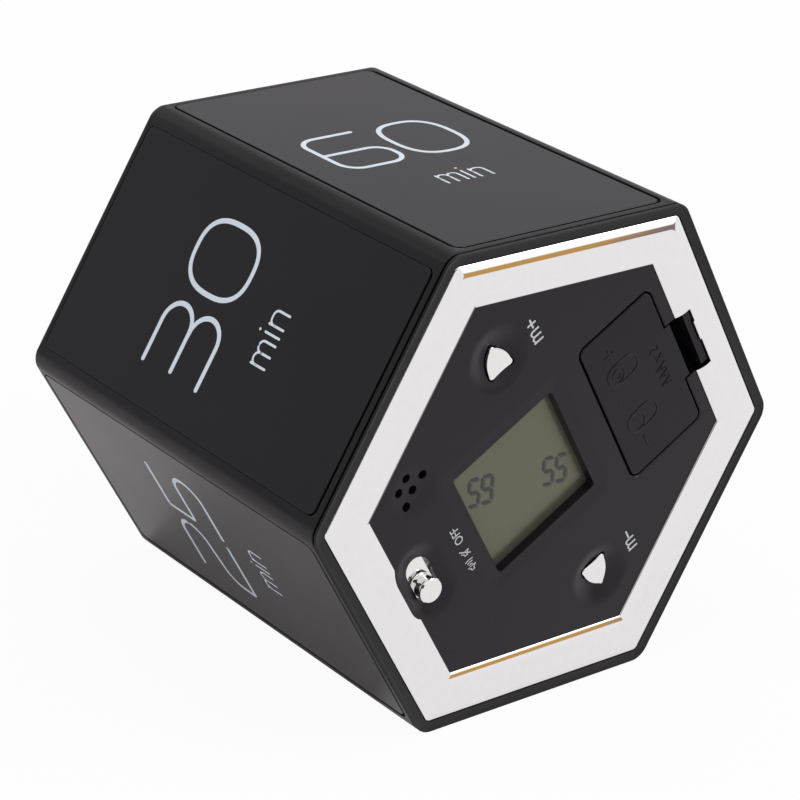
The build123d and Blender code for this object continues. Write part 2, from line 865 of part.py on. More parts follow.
def assembly():
    """Every piece of the timer by name, in the panel's frame."""
    pieces = {"main_shell": make_main_shell()}
    for degrees, minutes in plate_minutes.items():
        pieces[f"number_plate_{minutes:02d}"] = make_number_plate(degrees)
    pieces["chrome_bezel"] = make_chrome_bezel()
    pieces["front_panel"] = make_front_panel()
    pieces["panel_screws"] = make_panel_screws()
    pieces["lcd_front_glass"] = make_lcd_front_glass()
    pieces["lcd_rear_glass"] = make_lcd_rear_glass()
    pieces["lcd_reflector"] = make_lcd_reflector()
    pieces["lcd_support_frame"] = make_lcd_support_frame()
    pieces["zebra_strip"] = make_zebra_strip()
    pieces["main_board"] = make_main_board()
    pieces["board_screws"] = make_board_screws()
    pieces["controller_blob"] = make_controller_blob()
    pieces["timing_crystal"] = make_timing_crystal()
    pieces["orientation_sensor"] = make_orientation_sensor()
    pieces["chip_parts"] = make_chip_parts()
    for name, direction in (("plus", 1), ("minus", -1)):
        pieces[f"{name}_button"] = make_button(direction)
        pieces[f"{name}_tact_switch"] = make_tact_switch(direction)
        pieces[f"{name}_tact_plunger"] = make_tact_plunger(direction)
    pieces["mode_knob"] = make_mode_knob()
    pieces["mode_switch_slider"] = make_mode_switch_slider()
    pieces["mode_switch_case"] = make_mode_switch_case()
    pieces["buzzer_case"] = make_buzzer_case()
    pieces["buzzer_disc"] = make_buzzer_disc()
    pieces["battery_door"] = make_battery_door()
    pieces["door_latch"] = make_door_latch()
    pieces["door_contact"] = make_door_contact()
    pieces["battery_case"] = make_battery_case()
    pieces["case_screws"] = make_case_screws()
    for cell, contact, lead, hand in (
        ("upper_cell", "negative_contact", "black_lead", 1),
        ("lower_cell", "positive_contact", "red_lead", -1),
    ):
        pieces[cell] = make_cell(hand)
        pieces[contact] = make_rear_contact(hand)
        pieces[lead] = make_lead(hand)
    return pieces


def panel_frame():
    """Place of the panel's frame in the standing timer."""
    tilt = math.radians(90 - side_turn)
    return Plane(
        origin=(0, rim_y, apothem),
        x_dir=(math.cos(tilt), 0, math.sin(tilt)),
        z_dir=(0, -1, 0),
    ).location


def main():
    """Writes one file per piece."""
    os.makedirs("parts", exist_ok=True)
    place = panel_frame()
    for name, shape in assembly().items():
        solids = shape if isinstance(shape, list) else [shape]
        placed = [place * solid for solid in solids]
        piece = placed[0] if len(placed) == 1 else Compound(children=placed)
        piece.label = name
        export_step(piece, os.path.join("parts", f"{name}.step"))


if __name__ == "__main__":
    main()
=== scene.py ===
import logging
import math
from dataclasses import dataclass
from enum import Enum
from typing import Callable, ClassVar, Iterable, Optional, Sequence

import bmesh
import bpy
from mathutils import Matrix, Vector


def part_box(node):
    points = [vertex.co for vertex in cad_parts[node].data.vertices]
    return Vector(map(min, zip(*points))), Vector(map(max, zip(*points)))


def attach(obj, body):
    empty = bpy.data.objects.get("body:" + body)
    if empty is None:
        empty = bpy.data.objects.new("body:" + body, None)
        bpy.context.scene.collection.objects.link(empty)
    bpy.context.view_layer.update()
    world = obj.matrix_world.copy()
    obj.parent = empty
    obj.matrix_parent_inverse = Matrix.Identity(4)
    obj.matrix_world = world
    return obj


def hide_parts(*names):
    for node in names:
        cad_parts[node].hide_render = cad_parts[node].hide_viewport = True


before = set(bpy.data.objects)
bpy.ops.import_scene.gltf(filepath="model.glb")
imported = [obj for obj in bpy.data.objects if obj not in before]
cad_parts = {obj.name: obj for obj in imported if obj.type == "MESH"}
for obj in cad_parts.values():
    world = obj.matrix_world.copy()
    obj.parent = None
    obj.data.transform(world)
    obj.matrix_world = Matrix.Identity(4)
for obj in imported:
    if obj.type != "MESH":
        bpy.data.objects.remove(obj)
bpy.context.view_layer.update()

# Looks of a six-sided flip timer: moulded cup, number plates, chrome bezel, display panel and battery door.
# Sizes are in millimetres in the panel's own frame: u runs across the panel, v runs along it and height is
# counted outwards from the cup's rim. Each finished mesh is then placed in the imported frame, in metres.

log = logging.getLogger("flip_timer")

Color = tuple[float, float, float]
Point = tuple[float, float]
Path = Sequence[tuple[float, float, float]]
Socket = bpy.types.NodeSocket
Vert = bmesh.types.BMVert
Edge = bmesh.types.BMEdge
Face = bmesh.types.BMFace

MILLIMETRE = 0.001
SIDES = 6
SIDE_TURN = 2 * math.pi / SIDES
TILT = math.pi / 2 - SIDE_TURN
CORNER_RATIO = 1 / math.cos(SIDE_TURN / 2)
FULL_CIRCLE = 360
SAME = 1e-4
WELD = 1e-5
UPRIGHT = 0.5
ROUND_END = 0.999
FACE_WEIGHT = 80
SHARP_ANGLE = math.radians(38)
STRAIGHT = math.radians(89)
QUARTER_TURN = Matrix(((0.0, -1.0, 0.0), (1.0, 0.0, 0.0), (0.0, 0.0, 1.0))).to_4x4()
STAND_UP = Matrix(((1.0, 0.0, 0.0), (0.0, 0.0, -1.0), (0.0, 1.0, 0.0))).to_4x4()
TINT_SCALE = 70.0
HAZE_RANGE = (0.35, 0.7)
HAIRLINE_STRETCH = (1.0, 0.04, 1.0)


class Body(Enum):
    """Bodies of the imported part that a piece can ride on."""

    TIMER = "timer_body"
    PLUS = "plus_button"
    MINUS = "minus_button"
    KNOB = "mode_knob"
    DOOR = "battery_door"
    LATCH = "door_latch"


class Side(Enum):
    """Sides of the prism by the minutes they carry; the value is the side's angle in the panel's plane."""

    SIXTY = 60
    THIRTY = 120
    TWENTY_FIVE = 180
    FIFTEEN = 240
    TEN = 300
    FIVE = 0

    @property
    def minutes(self) -> str:
        """Minutes printed on the side."""
        return {60: "60", 120: "30", 180: "25", 240: "15", 300: "10", 0: "5"}[self.value]

    @property
    def node(self) -> str:
        """Name of the side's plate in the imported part."""
        return f"number_plate_{int(self.minutes):02d}"


class Rounds(Enum):
    """What a bevel rounds, in the operator's words."""

    EDGES = "EDGES"
    CORNERS = "VERTICES"


def put_in_scene(name: str, data: bpy.types.ID) -> bpy.types.Object:
    """Makes an object and links it to the scene.

    Args:
        name: name of the object.
        data: its mesh, curve, lamp or camera.

    Returns:
        The object, at the origin.
    """
    made = bpy.data.objects.new(name, data)
    bpy.context.scene.collection.objects.link(made)
    return made


def verts_in(items: Iterable[object]) -> list[Vert]:
    """Returns the vertices among the parts that an operator made."""
    return [item for item in items if isinstance(item, Vert)]


class NodeSheet:
    """Lays shader nodes in one tree and joins them."""

    spacing = 200
    mix_first = 6
    mix_second = 7
    mix_result = 2

    def __init__(self, tree: bpy.types.NodeTree) -> None:
        """Starts on a tree.

        Args:
            tree: material, world or group tree that takes the nodes.
        """
        self.tree = tree
        self.tree.nodes.clear()
        self.column = 0

    def add(self, kind: str, inputs: Optional[dict] = None, **settings: object) -> bpy.types.Node:
        """Adds a node, sets it up and joins what feeds it.

        Args:
            kind: Blender's name of the node type.
            inputs: value or output socket for each named or numbered input.
            settings: properties of the node itself.

        Returns:
            The new node.
        """
        node = self.tree.nodes.new(kind)
        node.location = (self.spacing * self.column, 0)
        self.column += 1
        for name, value in settings.items():
            setattr(node, name, value)
        for name, value in (inputs or {}).items():
            self.feed(node.inputs[name], value)
        return node

    def feed(self, socket: Socket, value: object) -> None:
        """Gives an input a constant or joins an output to it.

        Args:
            socket: the input.
            value: a number, a colour, a vector or an output socket.
        """
        if isinstance(value, Socket):
            self.tree.links.new(value, socket)
        elif socket.type == "RGBA" and len(value) == 3:
            socket.default_value = (*value, 1.0)
        else:
            socket.default_value = value

    def work_out(self, operation: str, *values: object) -> Socket:
        """Returns the result of one sum over numbers and sockets, named as Blender names it."""
        return self.add("ShaderNodeMath", dict(enumerate(values)), operation=operation).outputs[0]

    def blend(self, share: Socket, first: object, second: object) -> Socket:
        """Mixes two colours.

        Args:
            share: share of the second colour.
            first: colour or colour socket at a share of nought.
            second: colour or colour socket at a share of one.

        Returns:
            The mixed colour.
        """
        inputs = {"Factor": share, self.mix_first: first, self.mix_second: second}
        return self.add("ShaderNodeMix", inputs, data_type="RGBA").outputs[self.mix_result]

    def remap(self, value: Socket, given: Sequence = (0.0, 1.0), wanted: Sequence = (0.0, 1.0)) -> Socket:
        """Maps a number from one range to another.

        Args:
            value: the number.
            given: start and end of its own range.
            wanted: start and end of the new range.

        Returns:
            The mapped number.
        """
        ends = dict(zip(("From Min", "From Max", "To Min", "To Max"), (*given, *wanted)))
        return self.add("ShaderNodeMapRange", {"Value": value, **ends}).outputs["Result"]

    def noise(self, place: Socket, scale: object, **levels: float) -> Socket:
        """Returns a soft noise; levels are the noise node's other inputs by name."""
        return self.add("ShaderNodeTexNoise", {"Vector": place, "Scale": scale, **levels}).outputs["Fac"]

    def relief(self, height: Socket, strength: float, depth: float) -> Socket:
        """Returns the normal of a surface with a fine relief of some strength and depth."""
        inputs = {"Strength": strength, "Distance": depth, "Height": height}
        return self.add("ShaderNodeBump", inputs).outputs["Normal"]

    def effect(self, name: str, **inputs: object) -> bpy.types.bpy_prop_collection:
        """Places a shared effect, fed by name, and returns its outputs."""
        return self.add("ShaderNodeGroup", inputs, node_tree=Effect.made[name]).outputs

    def place(self) -> Socket:
        """Returns the place on the piece."""
        return self.add("ShaderNodeTexCoord").outputs["Object"]

    def along(self, axis: str) -> Socket:
        """Returns one coordinate of the place on the piece: X, Y or Z."""
        return self.add("ShaderNodeSeparateXYZ", {"Vector": self.place()}).outputs[axis]


class Effect:
    """A shader node group that several finishes share; it takes a place and numbers, and gives numbers."""

    made: dict[str, bpy.types.ShaderNodeTree] = {}

    def __init__(self, name: str, takes: Sequence[str], gives: Sequence[str]) -> None:
        """Makes the empty group with its sockets.

        Args:
            name: name of the group.
            takes: names of the numbers that it takes beside the place.
            gives: names of the numbers that it gives.
        """
        self.tree = bpy.data.node_groups.new(name, "ShaderNodeTree")
        self.tree.interface.new_socket("Vector", in_out="INPUT", socket_type="NodeSocketVector")
        for way, names in (("INPUT", takes), ("OUTPUT", gives)):
            for socket in names:
                self.tree.interface.new_socket(socket, in_out=way, socket_type="NodeSocketFloat")
        self.sheet = NodeSheet(self.tree)
        self.source = self.sheet.add("NodeGroupInput").outputs
        Effect.made[name] = self.tree

    def give(self, **outputs: Socket) -> None:
        """Joins the group's outputs."""
        self.sheet.add("NodeGroupOutput", outputs)


def make_grain_effect() -> None:
    """Builds the fine spark-eroded grain of moulded plastic: a height and a slow tint mask."""
    effect = Effect("moulded grain", ["Scale"], ["Height", "Tint"])
    sheet, place, scale = effect.sheet, effect.source["Vector"], effect.source["Scale"]
    fine = sheet.noise(place, scale, Detail=3.0, Roughness=0.55)
    pits = sheet.add("ShaderNodeTexVoronoi", {"Vector": place, "Scale": scale, "Randomness": 1.0})
    height = sheet.work_out("ADD", fine, pits.outputs["Distance"])
    effect.give(Height=height, Tint=sheet.noise(place, TINT_SCALE, Detail=2.0))


def make_haze_effect() -> None:
    """Builds the uneven gloss of a handled surface: a roughness between two levels."""
    effect = Effect("handling haze", ["Scale", "Clean", "Handled"], ["Roughness"])
    sheet, source = effect.sheet, effect.source
    cloud = sheet.noise(source["Vector"], source["Scale"], Detail=4.0, Distortion=0.6)
    effect.give(Roughness=sheet.remap(cloud, HAZE_RANGE, (source["Clean"], source["Handled"])))


def make_hairline_effect() -> None:
    """Builds hairline rub marks that run along one direction: a height."""
    effect = Effect("hairlines", ["Scale"], ["Height"])
    sheet, source = effect.sheet, effect.source
    drawn = sheet.add("ShaderNodeMapping", {"Vector": source["Vector"], "Scale": HAIRLINE_STRETCH})
    effect.give(Height=sheet.noise(drawn.outputs["Vector"], source["Scale"], Detail=2.0))


def fresh_material(name: str) -> tuple[bpy.types.Material, NodeSheet]:
    """Makes a material without nodes.

    Args:
        name: name of the material.

    Returns:
        The material and the sheet that lays its nodes.
    """
    made = bpy.data.materials.new(name)
    made.use_nodes = True
    return made, NodeSheet(made.node_tree)


@dataclass(frozen=True)
class Finish:
    """A surface finish of uneven gloss that makes its own material once."""

    name: str
    color: Color
    clean: float = 0.3
    handled: float = 0.4
    haze_scale: float = 90.0
    spread: float = 0.12

    def material(self) -> bpy.types.Material:
        """Makes the finish's material on first use.

        Returns:
            The material.
        """
        found = bpy.data.materials.get(self.name)
        if found is None:
            found, sheet = fresh_material(self.name)
            place = sheet.place()
            haze = sheet.effect(
                "handling haze", Vector=place, Scale=self.haze_scale, Clean=self.clean, Handled=self.handled
            )
            looks = {"Roughness": haze["Roughness"], **self.shade(sheet, place)}
            shader = sheet.add("ShaderNodeBsdfPrincipled", looks)
            sheet.add("ShaderNodeOutputMaterial", {"Surface": shader.outputs["BSDF"]})
        return found

    def shade(self, sheet: NodeSheet, place: Socket) -> dict[str, object]:
        """Lays the nodes that only this finish has.

        Args:
            sheet: sheet of the material.
            place: place on the piece.

        Returns:
            Value or socket for each input of the shader that they feed.
        """
        raise NotImplementedError

    def tint(self, sheet: NodeSheet, mask: Socket) -> Socket:
        """Varies the finish's colour a little.

        Args:
            sheet: sheet of the material.
            mask: where the colour is lighter.

        Returns:
            The varied colour.
        """
        dark = tuple(channel * (1 - self.spread) for channel in self.color)
        light = tuple(min(1.0, channel * (1 + self.spread)) for channel in self.color)
        return sheet.blend(mask, dark, light)


@dataclass(frozen=True)
class MouldedPlastic(Finish):
    """Moulded plastic with a fine grain."""

    grain_scale: float = 2600.0
    grain_strength: float = 0.12
    grain_depth: float = 0.00005
    ior: float = 1.46

    def shade(self, sheet: NodeSheet, place: Socket) -> dict[str, object]:
        """Lays grain and tint.

        Args:
            sheet: sheet of the material.
            place: place on the piece.

        Returns:
            What feeds the shader.
        """
        grain = sheet.effect("moulded grain", Vector=place, Scale=self.grain_scale)
        return {
            "Base Color": self.tint(sheet, grain["Tint"]),
            "Normal": sheet.relief(grain["Height"], self.grain_strength, self.grain_depth),
            "IOR": self.ior,
        }


@dataclass(frozen=True)
class PlatedMetal(Finish):
    """Bright plating or bare sheet metal with hairlines."""

    clean: float = 0.04
    handled: float = 0.09
    haze_scale: float = 120.0
    line_scale: float = 900.0
    line_strength: float = 0.015
    line_depth: float = 0.00002
    spread: float = 0.03

    def shade(self, sheet: NodeSheet, place: Socket) -> dict[str, object]:
        """Lays hairlines on a metal.

        Args:
            sheet: sheet of the material.
            place: place on the piece.

        Returns:
            What feeds the shader.
        """
        height = sheet.effect("hairlines", Vector=place, Scale=self.line_scale)["Height"]
        return {
            "Base Color": self.tint(sheet, height),
            "Normal": sheet.relief(height, self.line_strength, self.line_depth),
            "Metallic": 1.0,
        }


@dataclass(frozen=True)
class DisplayFilm(Finish):
    """Grey-green polarising film of a reflective display, with a faint sparkle."""

    clean: float = 0.2
    handled: float = 0.3
    haze_scale: float = 150.0
    sparkle_scale: float = 3500.0
    sheen: Color = (1.0, 0.9, 0.62)
    ior: float = 1.75
    spread: float = 0.05

    def shade(self, sheet: NodeSheet, place: Socket) -> dict[str, object]:
        """Lays the film's sparkle; see Finish.shade."""
        grain = sheet.effect("moulded grain", Vector=place, Scale=self.sparkle_scale)
        return {"Base Color": self.tint(sheet, grain["Height"]), "IOR": self.ior, "Specular Tint": self.sheen}


@dataclass(frozen=True)
class Ink(Finish):
    """Printed ink with a dry, slightly mottled film."""

    clean: float = 0.5
    handled: float = 0.62
    haze_scale: float = 400.0
    mottle_scale: float = 4000.0
    spread: float = 0.06

    def shade(self, sheet: NodeSheet, place: Socket) -> dict[str, object]:
        """Lays the ink's mottle; see Finish.shade."""
        grain = sheet.effect("moulded grain", Vector=place, Scale=self.mottle_scale)
        return {"Base Color": self.tint(sheet, grain["Tint"])}


@dataclass(frozen=True)
class Laminate(Finish):
    """Circuit board with solder resist over copper tracks."""

    handled: float = 0.45
    haze_scale: float = 200.0
    track: Color = (0.02, 0.13, 0.05)
    track_scale: float = 260.0
    track_width: float = 0.06
    track_blur: float = 0.2
    track_strength: float = 0.1
    track_depth: float = 0.00005

    def shade(self, sheet: NodeSheet, place: Socket) -> dict[str, object]:
        """Lays the tracks under the resist.

        Args:
            sheet: sheet of the material.
            place: place on the piece.

        Returns:
            What feeds the shader.
        """
        brick = sheet.add(
            "ShaderNodeTexBrick",
            {
                "Vector": place,
                "Scale": self.track_scale,
                "Color1": self.color,
                "Color2": self.color,
                "Mortar": self.track,
                "Mortar Size": self.track_width,
                "Mortar Smooth": self.track_blur,
            },
        ).outputs
        relief = sheet.relief(brick["Fac"], self.track_strength, self.track_depth)
        return {"Base Color": brick["Color"], "Normal": relief}


@dataclass(frozen=True)
class CellWrap(Finish):
    """Printed sleeve of a dry cell with a band of another colour, between two bare steel ends."""

    clean: float = 0.22
    handled: float = 0.34
    haze_scale: float = 120.0
    band: Color = (0.55, 0.28, 0.08)
    steel: Color = (0.62, 0.61, 0.59)
    band_start: float = -0.012
    middle: float = -0.00305
    half_length: float = 0.02065

    def shade(self, sheet: NodeSheet, place: Socket) -> dict[str, object]:
        """Lays the two colours of the sleeve and the steel of the ends.

        Args:
            sheet: sheet of the material.
            place: place on the piece.

        Returns:
            What feeds the shader.
        """
        along = sheet.along("Y")
        banded = sheet.work_out("LESS_THAN", along, self.band_start)
        distance = sheet.work_out("ABSOLUTE", sheet.work_out("SUBTRACT", along, self.middle))
        bare = sheet.work_out("GREATER_THAN", distance, self.half_length)
        sleeve = sheet.blend(banded, self.color, self.band)
        return {"Base Color": sheet.blend(bare, sleeve, self.steel), "Metallic": bare}


SHELL_BLACK = MouldedPlastic("satin black shell", (0.007, 0.0065, 0.0074), 0.28, 0.36, ior=1.34)
PLATE_BLACK = MouldedPlastic(
    "gloss black plate", (0.0085, 0.0082, 0.0092), 0.16, 0.22, grain_strength=0.02, ior=1.38
)
PANEL_BLACK = MouldedPlastic(
    "satin black panel", (0.0102, 0.0074, 0.0113), 0.27, 0.35, grain_strength=0.16, ior=1.315
)
DOOR_BLACK = MouldedPlastic(
    "satin black door", (0.0082, 0.006, 0.0092), 0.27, 0.35, grain_strength=0.16, ior=1.29
)
FRAME_PLASTIC = MouldedPlastic("white frame plastic", (0.62, 0.62, 0.6), 0.42, 0.5)
KEY_PLASTIC = MouldedPlastic("black key plastic", (0.02, 0.02, 0.02), 0.4, 0.5)
RED_SLEEVE = MouldedPlastic("red lead sleeve", (0.45, 0.015, 0.012), 0.4, 0.5)
BLACK_SLEEVE = MouldedPlastic("black lead sleeve", (0.014, 0.014, 0.015), 0.4, 0.5)
ZEBRA_RUBBER = MouldedPlastic("striped rubber", (0.16, 0.16, 0.17), 0.6, 0.7)
CHIP_RESIN = MouldedPlastic("black chip resin", (0.012, 0.012, 0.013), 0.25, 0.4)
CHIP_CERAMIC = MouldedPlastic("tan chip ceramic", (0.33, 0.24, 0.15), 0.4, 0.55)
CHROME = PlatedMetal("bright chrome", (0.8, 0.785, 0.79), 0.05, 0.09)
BUTTON_CHROME = PlatedMetal("button chrome", (0.8, 0.785, 0.78), 0.04, 0.08)
CAN_STEEL = PlatedMetal("plated can steel", (0.62, 0.62, 0.63), 0.2, 0.3)
CONTACT_STEEL = PlatedMetal("nickel contact", (0.68, 0.66, 0.62), 0.18, 0.3)
REFLECTOR_FOIL = PlatedMetal("reflector foil", (0.75, 0.75, 0.74), 0.25, 0.35)
BRASS = PlatedMetal("brass disc", (0.72, 0.5, 0.2), 0.2, 0.32)
DISPLAY_FILM = DisplayFilm("display film", (0.058, 0.06, 0.046))
SEGMENT_INK = Ink("display segments", (0.013, 0.022, 0.02), 0.3, 0.42)
# Painted shadow: a paler, offset copy of the display figures, set just behind them, stands in for the shadow
# they cast on the reflector under the glass.
SEGMENT_PAINTED_SHADOW = Ink("display segment painted shadow", (0.042, 0.046, 0.036), 0.3, 0.42)
PLATE_INK = Ink("pale blue plate print", (0.66, 0.74, 0.82))
PANEL_INK = Ink("pale panel print", (0.5, 0.53, 0.56))
BOARD_GREEN = Laminate("green laminate", (0.012, 0.08, 0.03))
CELL_SLEEVE = CellWrap("cell sleeve", (0.02, 0.022, 0.028))


class Workpiece:
    """A mesh in the making, shaped with bmesh operators in millimetres."""

    def __init__(self) -> None:
        """Starts an empty mesh."""
        self.bm = bmesh.new()

    def block(self, centre: Point, size: Point, low: float, high: float) -> list[Vert]:
        """Adds a rectangular block.

        Args:
            centre: middle of the block in the plane.
            size: its two sides in the plane.
            low: height of its foot.
            high: height of its top.

        Returns:
            The block's vertices.
        """
        corners = bmesh.ops.create_cube(self.bm, size=1.0)["verts"]
        spread = Matrix.Diagonal((size[0], size[1], high - low, 1.0))
        place = Matrix.Translation((centre[0], centre[1], (low + high) / 2))
        bmesh.ops.transform(self.bm, matrix=place @ spread, verts=corners)
        return corners

    def drum(
        self, centre: Point, radius: float, low: float, high: float, segments: int = 48
    ) -> list[Vert]:
        """Adds a round post.

        Args:
            centre: its axis in the plane.
            radius: its radius.
            low: height of its foot.
            high: height of its top.
            segments: number of its sides.

        Returns:
            The post's vertices.
        """
        place = Matrix.Translation((centre[0], centre[1], (low + high) / 2))
        return bmesh.ops.create_cone(
            self.bm,
            cap_ends=True,
            segments=segments,
            radius1=radius,
            radius2=radius,
            depth=high - low,
            matrix=place,
        )["verts"]

    def prism(self, outline: Sequence[Point], low: float, high: float) -> list[Vert]:
        """Adds a straight prism over a flat outline.

        Args:
            outline: corners of the outline, in order.
            low: height of its foot.
            high: height of its top.

        Returns:
            The prism's vertices.
        """
        foot = [self.bm.verts.new((x, y, low)) for x, y in outline]
        face = self.bm.faces.new(foot)
        return foot + self.raise_face(face, (0.0, 0.0, high - low))

    def hexagon(self, apothem: float, height: float, filled: bool) -> list[Vert]:
        """Adds a six-sided loop with a flat square to u.

        Args:
            apothem: half its width across flats.
            height: its height.
            filled: whether it gets a face.

        Returns:
            The loop's vertices.
        """
        return bmesh.ops.create_circle(
            self.bm,
            cap_ends=filled,
            segments=SIDES,
            radius=apothem * CORNER_RATIO,
            matrix=Matrix.Translation((0.0, 0.0, height)),
        )["verts"]

    def raise_face(self, face: Face, move: Sequence[float]) -> list[Vert]:
        """Extrudes one face.

        Args:
            face: the face.
            move: how far the copy goes.

        Returns:
            The vertices of the moved copy.
        """
        joined = any(len(edge.link_faces) > 1 for edge in face.edges)
        moved = verts_in(bmesh.ops.extrude_face_region(self.bm, geom=[face])["geom"])
        bmesh.ops.translate(self.bm, vec=move, verts=moved)
        if joined:
            bmesh.ops.delete(self.bm, geom=[face], context="FACES_ONLY")
        return moved

    def edges_where(self, test: Callable[[Edge], bool]) -> list[Edge]:
        """Returns the edges that pass a test."""
        return [edge for edge in self.bm.edges if test(edge)]

    def level_edges(self, height: float) -> list[Edge]:
        """Returns the edges that lie at one height."""
        return self.edges_where(lambda edge: all(abs(v.co.z - height) < SAME for v in edge.verts))

    def upright_edges(self, verts: Iterable[Vert]) -> list[Edge]:
        """Finds the edges that run along the height.

        Args:
            verts: vertices between which they run.

        Returns:
            The edges.
        """
        inside = set(verts)
        return self.edges_where(
            lambda edge: all(v in inside for v in edge.verts)
            and (edge.verts[0].co.xy - edge.verts[1].co.xy).length < SAME
        )

    def bevel(self, parts: Iterable, offset: float, segments: int, rounds: Rounds = Rounds.EDGES) -> None:
        """Rounds edges, or the corners of a flat outline.

        Args:
            parts: the edges, or the vertices at the corners.
            offset: distance of the round's borders from the edge.
            segments: number of strips in the round.
            rounds: which of the two is rounded.
        """
        bmesh.ops.bevel(
            self.bm,
            geom=list(parts),
            offset=offset,
            offset_type="OFFSET",
            segments=segments,
            profile=0.5,
            affect=rounds.value,
            clamp_overlap=False,
            material=-1,
        )

    def inset(self, faces: Sequence[Face], thickness: float, depth: float) -> None:
        """Insets a patch of faces.

        Args:
            faces: the patch.
            thickness: how far its border moves in.
            depth: how far the patch moves out.
        """
        bmesh.ops.inset_region(
            self.bm, faces=faces, thickness=thickness, depth=depth, use_even_offset=True, use_boundary=True
        )

    def split(self, place: Sequence[float], normal: Sequence[float], clear: bool = False) -> None:
        """Cuts the shape's faces along a plane.

        Args:
            place: a point of the plane.
            normal: direction square to the plane.
            clear: whether what lies beyond the plane is taken away.
        """
        parts = [*self.bm.verts, *self.bm.edges, *self.bm.faces]
        bmesh.ops.bisect_plane(self.bm, geom=parts, plane_co=place, plane_no=normal, clear_outer=clear)

    def carve(self, cutter: "Workpiece") -> None:
        """Takes another closed shape out of this one.

        Args:
            cutter: the shape to take out; it is used up.
        """
        stock, tool = (self.loose_object(work) for work in (self, cutter))
        cut = stock.modifiers.new("cut", "BOOLEAN")
        cut.operation = "DIFFERENCE"
        cut.solver = "EXACT"
        cut.use_self = True
        cut.object = tool
        shaped = bpy.data.meshes.new_from_object(stock.evaluated_get(bpy.context.evaluated_depsgraph_get()))
        self.bm = bmesh.new()
        self.bm.from_mesh(shaped)
        for item in (stock, tool):
            bpy.data.meshes.remove(item.data)
        bpy.data.meshes.remove(shaped)

    @staticmethod
    def loose_object(work: "Workpiece") -> bpy.types.Object:
        """Turns a shape into an object for one operation.

        Args:
            work: the shape; its bmesh is freed.

        Returns:
            The object, linked to the scene.
        """
        bmesh.ops.recalc_face_normals(work.bm, faces=work.bm.faces)
        mesh = bpy.data.meshes.new("loose")
        work.bm.to_mesh(mesh)
        work.bm.free()
        made = put_in_scene("loose", mesh)
        bpy.context.view_layer.update()
        return made

    def turn(self, matrix: Matrix) -> None:
        """Moves the whole shape by a matrix."""
        bmesh.ops.transform(self.bm, matrix=matrix, verts=self.bm.verts)

    def absorb(self, other: "Workpiece") -> None:
        """Adds another shape to this one.

        Args:
            other: the other shape; it is used up.
        """
        mesh = bpy.data.meshes.new("loose")
        other.bm.to_mesh(mesh)
        other.bm.free()
        self.bm.from_mesh(mesh)
        bpy.data.meshes.remove(mesh)

    def turned(self, centre: Point, section: Sequence[Point], steps: int = 56) -> None:
        """Adds a round piece made by turning a section about an upright axis.

        Args:
            centre: the axis in the plane.
            section: radius and height of each point, from the axis round to the axis.
            steps: number of sides of the turned piece.
        """
        chain = [self.bm.verts.new((centre[0] + radius, centre[1], height)) for radius, height in section]
        lines = [self.bm.edges.new(pair) for pair in zip(chain, chain[1:])]
        bmesh.ops.spin(
            self.bm,
            geom=chain + lines,
            cent=(centre[0], centre[1], 0.0),
            axis=(0.0, 0.0, 1.0),
            angle=2 * math.pi,
            steps=steps,
            use_merge=True,
        )
        bmesh.ops.remove_doubles(self.bm, verts=self.bm.verts, dist=SAME)


class Placer:
    """Place of the panel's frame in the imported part."""

    def __init__(self) -> None:
        """Reads the place from the shell's box."""
        low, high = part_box("main_shell")
        self.apothem = (high.z - low.z) / 2 / MILLIMETRE
        self.length = (high.y - low.y) / MILLIMETRE
        across = Vector((math.cos(TILT), 0.0, math.sin(TILT)))
        along = Vector((-math.sin(TILT), 0.0, math.cos(TILT)))
        turn = Matrix((across, along, Vector((0.0, -1.0, 0.0)))).transposed().to_4x4()
        origin = Matrix.Translation((0.0, low.y, (low.z + high.z) / 2))
        self.matrix = origin @ turn @ Matrix.Scale(MILLIMETRE, 4)

    def side(self, side: Side) -> Matrix:
        """Frame of one side in the panel's frame.

        Args:
            side: the side.

        Returns:
            Matrix with x along the side's front edge, y towards the back and z outwards.
        """
        angle = math.radians(side.value)
        outward = Vector((math.cos(angle), math.sin(angle), 0.0))
        along = Vector((math.sin(angle), -math.cos(angle), 0.0))
        turn = Matrix((along, Vector((0.0, 0.0, -1.0)), outward)).transposed().to_4x4()
        return Matrix.Translation(outward * self.apothem) @ turn


@dataclass
class SubAssembly:
    """Pieces of the timer that are modelled together."""

    placer: Placer

    def build(self) -> None:
        """Models the pieces and sets them in the part."""
        raise NotImplementedError

    def settle(
        self,
        work: Workpiece,
        name: str,
        body: Body,
        slot: str,
        finish: Finish,
        stands_for: Sequence[str] = (),
    ) -> None:
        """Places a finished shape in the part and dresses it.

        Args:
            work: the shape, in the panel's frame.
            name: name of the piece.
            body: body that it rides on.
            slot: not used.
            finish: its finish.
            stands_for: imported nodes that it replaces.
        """
        bm = work.bm
        bmesh.ops.remove_doubles(bm, verts=bm.verts, dist=WELD)
        work.turn(self.placer.matrix)
        bmesh.ops.recalc_face_normals(bm, faces=bm.faces)
        for face in bm.faces:
            face.smooth = True
        for edge in bm.edges:
            rounded = edge.calc_face_angle(math.pi) < SHARP_ANGLE
            edge.smooth = edge.is_manifold and rounded and not edge.seam
        mesh = bpy.data.meshes.new(name)
        bm.to_mesh(mesh)
        bm.free()
        piece = put_in_scene(name, mesh)
        mesh.materials.append(finish.material())
        even = piece.modifiers.new("even shading", "WEIGHTED_NORMAL")
        even.keep_sharp = True
        even.weight = FACE_WEIGHT
        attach(piece, body.value)
        if stands_for:
            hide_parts(*stands_for)
        log.info("%s rides on %s with %d faces", name, body.value, len(mesh.polygons))


@dataclass(frozen=True)
class Legend:
    """A word in plain type: its letters, lower left corner, height and length."""

    text: str
    left: Point
    height: float
    width: float


